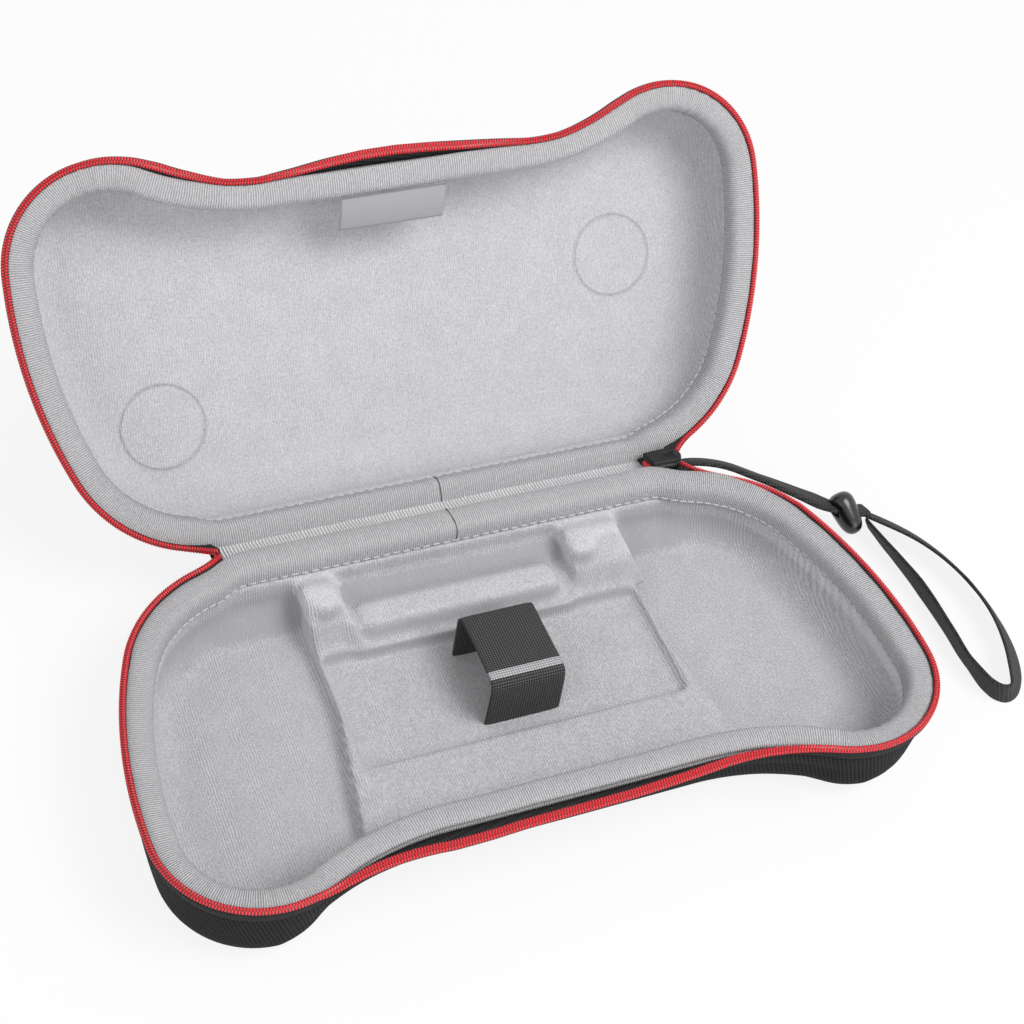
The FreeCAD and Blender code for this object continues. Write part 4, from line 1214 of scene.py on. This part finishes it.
print("coils meet at", ZIP_V)

# %% [markdown]
# Coil and tape are both swept along the zipper's line, so the line also carries the two ways
# across it: outward, which leans down where the coil lies on the wall, and up. Along the
# hinge there is no zipper. Near the slider the base's line sinks a little, as the tape is
# drawn in there.

# %% The zipper's line
FINE_STATIONS = 1600
COIL_LEAN = 38.0
ZIP_GAP = (-75.0, 83.0)
ZIP_GAP_DEPTH = 12.0
SINK_IN = 0.5
SINK_DOWN = 1.8


def zipper_line(half, step):
    """Coil's middle line in model millimetres, with the outward normal, up and stand-off there."""
    place, _ = HALVES[half]
    rows, _ = outline(FINE_STATIONS)
    extra = stand_off(half, rows)
    out, height = ZIP_PLACE[half]
    keep = ~((rows[:, 1] < ZIP_GAP_DEPTH) & (rows[:, 0] < ZIP_GAP[1]) & (rows[:, 0] > ZIP_GAP[0]))
    first = int(np.argmax(keep))
    last = len(keep) - int(np.argmax(keep[::-1]))
    rows = rows[first:last]
    extra = extra[first:last]
    sink = np.clip((110.0 - rows[:, 0]) / 16.0, 0.0, 1.0) * (rows[:, 0] > 60.0) * (rows[:, 1] < 25.0)
    sink = sink * (half == "base")
    line_height = height - 0.12 * extra - SINK_DOWN * sink
    line = place(offset_ring(rows, out + extra - SINK_IN * sink, line_height))
    origin = place(np.zeros(3))
    lean = np.radians(COIL_LEAN) * np.clip(1.0 - extra / 2.0, 0.0, 1.0)[:, None]
    flat = np.stack([rows[:, 2], rows[:, 3], np.zeros(len(rows))], -1)
    upright = np.array([0, 0, 1.0])
    outward = place(flat * np.cos(lean) - upright * np.sin(lean)) - origin
    upward = place(flat * np.sin(lean) + upright * np.cos(lean)) - origin
    run = lengths_along(line)
    head = int(np.searchsorted(run, ZIP_TURN))
    tail = int(np.searchsorted(run, run[-1] - ZIP_TURN))
    into_slider = bend(line, head, SLIDER_MOUTH[half], -1)[::-1]
    into_v = bend(line, tail, ZIP_V + np.array([0, V_GAP[half], 0]), 1)
    line = np.vstack([into_slider, line[head:tail + 1], into_v])
    outward, upward, extra = [with_ends(values, head, tail) for values in (outward, upward, extra)]
    run = lengths_along(line)
    wanted = np.arange(0.0, run[-1], step)
    line, outward, upward = [resampled(values, run, wanted) for values in (line, outward, upward)]
    heading = unit(np.gradient(line, axis=0))
    outward = unit(outward - heading * np.sum(outward * heading, 1)[:, None])
    across = np.cross(outward, heading)
    upward = across * np.sign(np.sum(across * upward, 1))[:, None]
    return line, outward, upward, wanted, np.interp(wanted, run, extra)


for half in ("base", "lid"):
    print(half, "zipper line %.0f mm" % zipper_line(half, 1.0)[3][-1])

# %% [markdown]
# A coil is a nylon spiral pressed flat and sewn to its tape. From the front it reads as two
# rows of beads with dark gaps. The swept bar swells and narrows at the real pitch of 0.87 mm,
# and a groove down its middle parts the two rows. The material darkens the gaps, since light
# hardly reaches them.

# %% Coils
TEETH_SAMPLES = 5
COIL_SQUARE = 0.8
GROOVE_DEPTH = 0.5
GROOVE_WIDTH = 0.25
COIL_HALF_HEIGHT = 0.9


def coil_bar(half):
    """One half's coil, with a bead of its own every pitch in both rows."""
    line, outward, upward, run, extra = zipper_line(half, COIL_PITCH / TEETH_SAMPLES)
    wide = coil_half_width(extra)
    turned = np.linspace(0.0, 2.0 * math.pi, 16, endpoint=False)
    circle = np.stack([np.cos(turned), np.sin(turned)], -1)
    section = np.copysign(np.abs(circle) ** COIL_SQUARE, circle)
    dip = np.where(section[:, 1] > 0, GROOVE_DEPTH * np.exp(-(section[:, 0] / GROOVE_WIDTH) ** 2), 0.0)
    row_phase = np.where(section[:, 0] < -0.05, math.pi, 0.0)
    phase = 2.0 * math.pi * run[:, None] / COIL_PITCH + row_phase[None]
    swell = 0.5 + 0.5 * np.sin(phase)
    u = section[None, :, 0] * wide[:, None] * (1.0 - 0.10 * (1.0 - swell))
    v = (section[None, :, 1] * (1.0 - 0.42 * (1.0 - swell)) - dip[None]) * COIL_HALF_HEIGHT
    points = line[:, None] + outward[:, None] * u[:, :, None] + upward[:, None] * v[:, :, None]
    across = np.linspace(0.0, COIL_ROUND, len(section) + 1)
    coil = skin(half + "_coil_teeth", points, run, across, wrap_columns=True, fill=("first", "last"))
    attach(coil, HALVES[half][1])
    return dress(coil, coil_nylon, "zip_coil", half + "_zipper_coil")


for half in ("base", "lid"):
    print(half, "coil faces", len(coil_bar(half).data.polygons))

# %% [markdown]
# The tape carries the coil. Its skirt is sewn down over the wall, and its edge passes under
# the coil and shows as a thin black line outside it. At the waist a band of it also shows
# between binding and coil, and its edge ends under the coil. Near both ends it leaves the
# wall with the coil.

# %% Zipper tapes
def zipper_tape(half):
    """One half's tape: a closed section from the skirt on the wall to the edge at the coil."""
    place, body = HALVES[half]
    line, outward, upward, run, extra = zipper_line(half, 1.1)
    rim_points = place(offset_ring(RIM, 0.0, 0.0))
    nearest = np.argmin(np.linalg.norm(line[:, None] - rim_points[None], axis=2), 1)
    rows = RIM[nearest]
    wide = coil_half_width(extra)
    free = freedom(extra)

    def on_wall(out, height):
        """Points of the skirt, out from the rim's line."""
        return place(offset_ring(rows, WALL_OUT + out, height))

    def at_coil(out, under):
        """Points out from the coil's middle line, and under it."""
        return line + outward * np.reshape(out, (-1, 1)) - upward * np.reshape(under, (-1, 1))

    low_inside = on_wall(0.02, -RIM_DROP - 0.7)
    low_outside = on_wall(0.3, -RIM_DROP - 0.6)
    high_outside = on_wall(0.45, -2.6 - 2.4 * free)
    high_inside = on_wall(-0.5, -1.9 - 2.3 * free)
    columns = [low_inside, low_outside, 0.5 * (low_outside + high_outside), high_outside,
               at_coil(-0.5 * wide, 1.35), at_coil(wide * (1.0 - 0.25 * free), 1.25 - 0.35 * free),
               at_coil(wide + 0.55 - 0.65 * free, 0.55), at_coil(wide + 0.35 - 0.55 * free, 0.3),
               at_coil(0.8 * wide, 0.6), at_coil(-0.9 * wide, 0.6),
               high_inside, 0.5 * (low_inside + high_inside)]
    across = np.concatenate([[0], np.cumsum([0.8, 4, 4, 2, 2, 1, 1, 1, 2.4, 2, 4, 4])])
    tape = skin(half + "_woven_tape", np.stack(columns, 1), run, across, wrap_columns=True, fill=("first", "last"))
    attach(tape, body)
    return dress(tape, tape_cloth, "zip_tape", half + "_zipper_tape")


for half in ("base", "lid"):
    print(half, "tape faces", len(zipper_tape(half).data.polygons))

# %% [markdown]
# The hinge is cloth: a ribbed strip inside, the colour of the binding, and a black one
# outside. Each is a thin closed skin that sags a little between the two rims, with a few
# slow waves along it. The zipper's joined end is such a strip too.

# %% A strip across the hinge
STRIP_THICK = 0.9


def lid_edge(depth, out):
    """(y, z) of a point depth from the lid's hinge edge and out from its rim plane."""
    return on_lid([0.0, depth, -out])[1:]


def hinge_strip(name, start, end, low_x, high_x, sag, wander, seed):
    """Cloth from start to end, both (y, z)."""
    start = np.asarray(start, float)
    end = np.asarray(end, float)
    xs = np.arange(low_x, high_x + 0.1, 1.0)
    share = np.linspace(0.0, 1.0, 19)
    dice = np.random.default_rng(seed)
    waves = sum(dice.uniform(0.3, 1.0) * np.sin(xs / span + dice.uniform(0, 6)) for span in (3.1, 5.3, 9.7, 17.0))
    top = []
    under = []
    for t in share:
        middle = start * (1 - t) + end * t
        fall = 4.0 * t * (1 - t)
        drop = sag * fall - wander * waves * fall * math.sin(2.3 + 5.0 * t)
        top.append(np.stack([xs, np.full(len(xs), middle[0]), middle[1] - drop], -1))
        under.append(top[-1] - np.array([0, 0, STRIP_THICK]))
    points = np.stack(top + under[::-1], 1)
    across = np.linspace(0.0, 2.0 * np.linalg.norm(end - start), points.shape[1] + 1)
    strip = skin(name, points, xs, across, wrap_columns=True, fill=("first", "last"))
    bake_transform(strip)
    return strip


# %% [markdown]
# The inner strip is held under the bindings' hems and shows its ribs. Its cloth is the
# binding's grey given lighter tones, painted light that lifts the shade of the crease. The
# outer one lies lower and is wider, since it has to reach round the fold. The end tape closes
# the gap beside the slider.

# %% Hinge cloth
inner_strip = hinge_strip("hinge_ribbed_cloth", (MIDDLE + 2.2, BASE_HEIGHT - 1.5), lid_edge(-0.6, 1.5),
                          low_x=-73.6, high_x=71.6, sag=1.6, wander=0.3, seed=3)
dress(inner_strip, hinge_cloth, "binding", "hinge_lining")
outer_strip = hinge_strip("hinge_black_cloth", (MIDDLE + 0.75, BASE_HEIGHT - 9.0), lid_edge(-0.85, 9.0),
                          low_x=-73.6, high_x=82.0, sag=1.5, wander=0.15, seed=4)
dress(outer_strip, shell_nylon, "shell_nylon", "hinge_web")
end_tape = hinge_strip("zip_end_tape", (MIDDLE + 0.2, BASE_HEIGHT - 1.2), lid_edge(-0.2, 1.2),
                       low_x=71.0, high_x=83.5, sag=0.6, wander=0.1, seed=6)
dress(end_tape, tape_cloth, "zip_tape", "zipper_closed_chain")
print("hinge strips", inner_strip.name, outer_strip.name, end_tape.name)

# %% [markdown]
# The elastic band comes up out of one slit, bends over as if a bar were under it, and goes
# down into the other. Its path is a few corners, softly rounded, in depth and height.

# %% Path of the band
BAND_CORNERS = [(36.65, -22.2), (36.2, -12.0), (35.9, -2.6), (50.0, -2.3), (63.85, -2.15), (64.0, -12.0),
                (63.85, -22.2)]


def soft_path(corners, radius, steps=7):
    """Open path of (depth, height) points with its inner corners rounded."""
    corners = [np.array(c, float) for c in corners]
    out = [corners[0]]
    for before, corner, after in zip(corners, corners[1:], corners[2:]):
        out.extend(round_corner(before, corner, after, radius, steps))
    return np.array(out + [corners[-1]])


band_path = soft_path(BAND_CORNERS, 3.4)
run = lengths_along(band_path)
wanted = np.arange(0.0, run[-1], 0.8)
band_path = resampled(band_path, run, wanted)
heading = unit(np.gradient(band_path, axis=0))
outward = np.stack([-heading[:, 1], heading[:, 0]], -1)
outward *= np.sign(outward[len(outward) // 2, 1])
print("band length %.0f mm" % run[-1])

# %% [markdown]
# The band is a flat knit, so its edges are thin. Where it is stretched its sides draw in a
# little and its middle sinks. Each point of its section is a share of the width and a side.

# %% Elastic band
BAND_WIDTH = 24.0
BAND_THICK = 1.3
BAND_DRAW = 0.45
draw_in = BAND_DRAW * np.sin(math.pi * np.clip(wanted / wanted[-1], 0, 1)) ** 2
shares = np.linspace(-1.0, 1.0, 29)
section = [(share, 0.5) for share in shares] + [(share, -0.5) for share in shares[::-1]]
band_points = []
for spot, out_way, draw in zip(band_path, outward, draw_in):
    row = []
    for share, side in section:
        x = share * (BAND_WIDTH / 2.0 - draw)
        thick = BAND_THICK * (1.0 - 0.45 * abs(share) ** 8)
        bow = -0.35 * (1.0 - share ** 2) * draw
        rest = spot + out_way * (side * thick + bow)
        row.append((x, rest[0], rest[1]))
    band_points.append(row)
band_across = lengths_along(np.array(section) * np.array([BAND_WIDTH / 2.0, BAND_THICK]))
band = skin("knitted_band", on_base(np.array(band_points)), wanted, np.append(band_across, band_across[-1] + 1.3),
            wrap_columns=True, fill=("first", "last"))
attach(band, "case_base")
dress(band, elastic_cloth, "elastic", "elastic_band")
print("band faces", len(band.data.polygons))

# %% [markdown]
# The woven label hangs from the seam under the lid's front binding. It is folded satin, so its
# lower edge is a fold and its sides are cut. It bows a little forwards, and stays bare.

# %% Label
LABEL_WIDTH = 34.0
LABEL_HANG = 11.6
LABEL_SHIFT = -1.8
label_top = on_lid([0.0, WAIST_DEPTH - 7.6, -2.6])
label_rows = np.linspace(0.0, 1.0, 15)
label_points = []
for side in (1.0, -1.0):
    for t in label_rows[::int(side)]:
        row = []
        for share in np.linspace(-1.0, 1.0, 35):
            bow = 0.9 * math.sin(math.pi * t * 0.8) + 0.25 * math.sin(2.2 * share + 0.7) * t
            x = share * LABEL_WIDTH / 2.0 + LABEL_SHIFT
            forward = bow + 0.3 * side
            row.append((x, label_top[1] - forward - 0.6, label_top[2] - LABEL_HANG * t - 0.12 * abs(share) * t))
        label_points.append(row)
label_piece = skin("bare_label", np.array(label_points), np.linspace(0, 25.2, 30), np.linspace(0, LABEL_WIDTH, 35),
                   fill=("first_column", "last_column"))
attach(label_piece, "case_lid")
dress(label_piece, label_cloth, "label", "lid_label")
print("label top", label_top)

# %% [markdown]
# The slider's plates and its bail keep their CAD form, shortened to the length that shows in
# the photograph. Small bevels catch the light along the plates' edges.

# %% Slider and bail
SLIDER_SHARE = 0.74
SLIDER_END = 82.5
slider = modified_copy(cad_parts["zipper_slider"], "slider_body", [
    ("BEVEL", {"width": 0.22 * MM, "segments": 2, "limit_method": "ANGLE"})])
slider_spots = spots_of(slider)
slider_spots[:, 0] = SLIDER_END - (SLIDER_END - slider_spots[:, 0]) * SLIDER_SHARE
move_spots(slider, slider_spots)
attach(slider, "case_base")
dress(slider, slider_metal, "slider_metal", "zipper_slider")
print("slider faces", len(slider.data.polygons))

# %% [markdown]
# The slider's top is a casting, rounded all over, with a small knob where the bail sits. It is
# built from cross rows along the chain: a straight part, then a half round end. At its
# other end a few joined teeth look out.

# %% Cast cap and joined teeth
SLIDER_CENTRE = np.array([75.0, 65.55, 28.05])
SLIDER_TILT = -math.atan2(HINGE_DROP, HINGE_BACK)

CAP_STRAIGHT = 2.7
CAP_ROUND = 4.85
CAP_FOOT = -1.4


def in_slider(points):
    """Slider frame to model, in millimetres; x runs along the chain and z out of the cap."""
    x, y, z = np.moveaxis(np.asarray(points, float), -1, 0)
    return np.stack([SLIDER_CENTRE[0] + x, SLIDER_CENTRE[1] + y * math.cos(SLIDER_TILT) - z * math.sin(SLIDER_TILT),
                     SLIDER_CENTRE[2] + y * math.sin(SLIDER_TILT) + z * math.cos(SLIDER_TILT)], -1)


cap_xs = np.concatenate([np.linspace(-3.8, 2.6, 14),
                         CAP_STRAIGHT + CAP_ROUND * np.sin(np.linspace(0.05, 0.5 * math.pi, 14))])
cap_rows = []
for x in cap_xs:
    half_width = 4.5 + 0.05 * (x + 3.8)
    if x >= CAP_STRAIGHT:
        half_width = math.sqrt(max(CAP_ROUND ** 2 - (x - CAP_STRAIGHT) ** 2, 0.05))
    ends = math.sqrt(max(0.0, 1.0 - max(0.0, (abs(x - 1.9) - 2.4) / 3.6) ** 2))
    row = [(x, -half_width, CAP_FOOT)]
    for share in np.linspace(-1.0, 1.0, 21):
        dome = 0.7 + 1.7 * ends * (1.0 - abs(share) ** 3.0)
        knob = 0.7 * math.exp(-((x - 3.0) / 1.5) ** 2 - (share * half_width / 1.9) ** 2)
        row.append((x, share * half_width, dome + knob))
    row.append((x, half_width, CAP_FOOT))
    cap_rows.append(row)
cap = skin("slider_cast_cap", in_slider(np.array(cap_rows)), np.arange(len(cap_rows)), np.arange(len(cap_rows[0]) + 1),
           wrap_columns=True, fill=("first", "last"))
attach(cap, "case_base")
dress(cap, slider_metal, "slider_metal")
teeth_ends = in_slider([(-4.3, -1.2, 0.2), (-4.4, 0.2, 0.3), (-4.2, 1.5, 0.2), (-5.0, -0.4, 0.1)])
stub = mesh_piece("joined_teeth_end", *capsules(teeth_ends, [np.array([1.0, 0.12, 0.0])] * 4, 1.8, 0.7, 10))
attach(stub, "case_base")
dress(stub, coil_nylon, "zip_coil")
print("cap rows", len(cap_rows))

# %% [markdown]
# The wrist strap is one length of flat webbing. Its route is a smooth curve through a few
# control points, cut into even steps. The ribbon's width turns along it, as real webbing
# does when it lies on an edge and leans over in the bends.

# %% Ribbon along a smooth route
STRAP_THICK = 1.2
STRAP_STEP = 0.7
STAND_WAY = np.array(CAMERA_BACK)


def smooth_route(name, points):
    """Even points, in millimetres, along a curve with these control points."""
    curve = bpy.data.curves.new(name, "CURVE")
    curve.dimensions = "3D"
    curve.resolution_u = 24
    spline = curve.splines.new("NURBS")
    spline.points.add(len(points) - 1)
    for spot, point in zip(spline.points, points):
        spot.co = (point[0] * MM, point[1] * MM, point[2] * MM, 1.0)
    spline.order_u = 3
    spline.use_endpoint_u = True
    holder = bpy.data.objects.new(name, curve)
    mesh = bpy.data.meshes.new_from_object(holder)
    raw = np.array([tuple(v.co) for v in mesh.vertices]) / MM
    bpy.data.objects.remove(holder)
    bpy.data.meshes.remove(mesh)
    bpy.data.curves.remove(curve)
    run = lengths_along(raw)
    wanted = np.linspace(0.0, run[-1], max(20, int(run[-1] / STRAP_STEP)))
    return resampled(raw, run, wanted), wanted


def by_share(share, table):
    """Values of a table of (share of length, value) rows."""
    return np.interp(share, [key for key, _ in table], [value for _, value in table])


def ribbon(name, route, run, leans, widths, thick):
    """Closed flat band that stands on its edge; the tables give lean in degrees, width and thickness."""
    share = run / run[-1]
    heading = unit(np.gradient(route, axis=0))
    stand = unit(STAND_WAY - heading * (heading @ STAND_WAY)[:, None])
    lean = np.radians(by_share(share, leans))[:, None]
    across = stand * np.cos(lean) + np.cross(heading, stand) * np.sin(lean)
    level = np.cross(heading, across)
    wide = by_share(share, widths)
    thick = by_share(share, thick)
    lots = np.array([(-0.5 + number / 8.0, -0.5) for number in range(9)]
                    + [(0.5 - number / 8.0, 0.5) for number in range(9)])
    edge_soft = 1.0 - 0.35 * (2.0 * np.abs(lots[:, 0])) ** 6
    points = (route[:, None] + across[:, None] * (lots[None, :, 0, None] * wide[:, None, None])
              + level[:, None] * (lots[None, :, 1, None] * edge_soft[None, :, None] * thick[:, None, None]))
    spread = np.linspace(0.0, 2.0 * wide.mean() + 2.0, len(lots) + 1)
    return skin(name, points, run, spread, wrap_columns=True, fill=("first", "last"))


# %% [markdown]
# From the slider's bail the strap runs doubled to the bead. Its points follow the CAD route,
# and some are moved a little to lie where the photograph shows them. It is narrow where it
# leaves the bail and again inside the bead, which squeezes it.

# %% Doubled run of the strap
STRAP_EXIT = np.array([75.0, 63.88, 24.14])
LEAD_END = np.array([147.0, 43.2, 7.6])
LEAD_POINTS = [STRAP_EXIT, (82.0, 65.9, 25.8), (91.0, 64.8, 25.1), (100.0, 62.9, 22.7), (108.0, 59.7, 19.4),
               (116.5, 55.7, 16.4), (124.0, 51.9, 13.6), (131.0, 48.0, 11.2), (138.5, 44.0, 9.2), LEAD_END]
LEAD_LEANS = [(0.0, 14), (0.3, 9), (0.5, 9), (0.68, 17), (0.85, 27), (1.0, 25)]
LEAD_WIDTHS = [(0.0, 4.8), (0.15, 8.6), (0.3, 9.8), (0.76, 9.8), (0.83, 6.4), (0.97, 6.4), (1.0, 7.6)]
LEAD_THICK = [(0.0, 1.6), (0.35, 2.0), (0.8, 2.5), (1.0, 2.5)]
lead_route, lead_run = smooth_route("lead_route", LEAD_POINTS)
lead = ribbon("strap_doubled_run", lead_route, lead_run, LEAD_LEANS, LEAD_WIDTHS, LEAD_THICK)
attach(lead, "case_base")
dress(lead, webbing_cloth, "webbing", "wrist_strap_lead")
print("doubled run %.0f mm" % lead_run[-1])

# %% [markdown]
# Past the bead the webbing opens into a loop, which lies on the table on its edge. It leans
# outwards most in the tight bend at its far end.

# %% Loop of the strap
LOOP_HEIGHT = 5.0
LOOP_POINTS = [(148.65, 43.2), (156.5, 35.0), (163.6, 23.5), (168.0, 9.5), (169.4, -4.5), (168.0, -18.5),
               (163.8, -31.0), (157.6, -39.0), (151.8, -36.5), (150.0, -23.5), (150.8, -8.0), (150.8, 8.0),
               (149.2, 22.5), (147.6, 33.0), (147.0, 39.6)]
LOOP_LEANS = [(0.0, 15), (0.12, 10), (0.25, 8), (0.33, 15), (0.4, 27), (0.47, 38), (0.53, 40), (0.57, 22), (0.63, 8),
              (0.72, 8), (0.82, 13), (0.95, 4), (1.0, 0)]
LOOP_WIDTHS = [(0.0, 7.6), (0.05, 9.6), (0.95, 9.6), (1.0, 7.6)]
loop_route, loop_run = smooth_route("loop_route", [(x, y, LOOP_HEIGHT) for x, y in LOOP_POINTS])
loop = ribbon("strap_loop_run", loop_route, loop_run, LOOP_LEANS, LOOP_WIDTHS, [(0.0, STRAP_THICK), (1.0, STRAP_THICK)])
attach(loop, "case_base")
dress(loop, webbing_cloth, "webbing", "wrist_strap_loop")
print("loop %.0f mm" % loop_run[-1])

# %% [markdown]
# The bead is a small glossy barrel, a little slimmer at one end. It grips both layers of the
# webbing and can be slid along them to close the loop round a wrist. The barrel is turned
# like on a lathe: rings of points round its axis, closer together towards its ends.

# %% Barrel of the bead
BEAD_CENTRE = np.array([139.2, 42.9, 8.9])
BEAD_WAY = unit(np.array([0.239, -0.805, -0.538]))
BEAD_HALF = 7.5
BEAD_REACH = 4.3
BEAD_TAPER = 0.75
nearest = int(np.argmin(np.linalg.norm(lead_route - BEAD_CENTRE, axis=1)))
bead_run = unit(lead_route[nearest + 2] - lead_route[nearest - 2])
bead_side = unit(np.cross(BEAD_WAY, bead_run))
bead_front = np.cross(bead_side, BEAD_WAY)
turned = np.linspace(0.0, 2.0 * math.pi, 32, endpoint=False)[:, None]
round_about = bead_side * np.cos(turned) + bead_front * np.sin(turned)
barrel_rows = []
for t in np.sin(np.linspace(-0.5 * math.pi, 0.5 * math.pi, 27)):
    reach = (BEAD_REACH - BEAD_TAPER * t) * max(1.0 - abs(t) ** 3.6, 0.0) ** 0.42 + 0.05
    barrel_rows.append(BEAD_CENTRE + BEAD_WAY * BEAD_HALF * t + round_about * reach)
barrel = skin("barrel_solid", np.array(barrel_rows), np.arange(27), np.arange(33), wrap_columns=True,
              fill=("first", "last"))
print("barrel faces", len(barrel.data.polygons))

# %% [markdown]
# The flat slot follows the strap's run through the barrel, and leans with the webbing. A block
# of the slot's size is cut out of the barrel, and a small bevel softens the slot's edges.

# %% Slot through the bead
SLOT_LEAN = math.radians(25.0)
SLOT_SIZE = (26.0, 7.4, 3.7)
cutter = mesh_piece("barrel_slot", [(x, y, z) for x in (-0.5, 0.5) for y in (-0.5, 0.5) for z in (-0.5, 0.5)],
                    [(0, 1, 3, 2), (4, 6, 7, 5), (0, 4, 5, 1), (2, 3, 7, 6), (0, 2, 6, 4), (1, 5, 7, 3)], smooth=False)
slot_stand = unit(STAND_WAY - bead_run * (bead_run @ STAND_WAY))
slot_across = slot_stand * math.cos(SLOT_LEAN) + np.cross(bead_run, slot_stand) * math.sin(SLOT_LEAN)
slot_turn = Matrix((bead_run, slot_across, np.cross(bead_run, slot_across))).transposed().to_4x4()
slot_place = Matrix.Translation(Vector(lead_route[nearest]) * MM)
cutter.matrix_world = slot_place @ slot_turn @ Matrix.Diagonal((*SLOT_SIZE, 1.0))
bead = modified_copy(barrel, "strap_barrel", [
    ("BOOLEAN", {"operation": "DIFFERENCE", "object": cutter, "solver": "EXACT"}),
    ("BEVEL", {"width": 0.2 * MM, "segments": 2, "limit_method": "ANGLE", "angle_limit": 0.9})])
bpy.data.objects.remove(barrel)
bpy.data.objects.remove(cutter)
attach(bead, "bead")
dress(bead, bead_plastic, "bead_plastic", "strap_bead")
print("bead faces", len(bead.data.polygons))
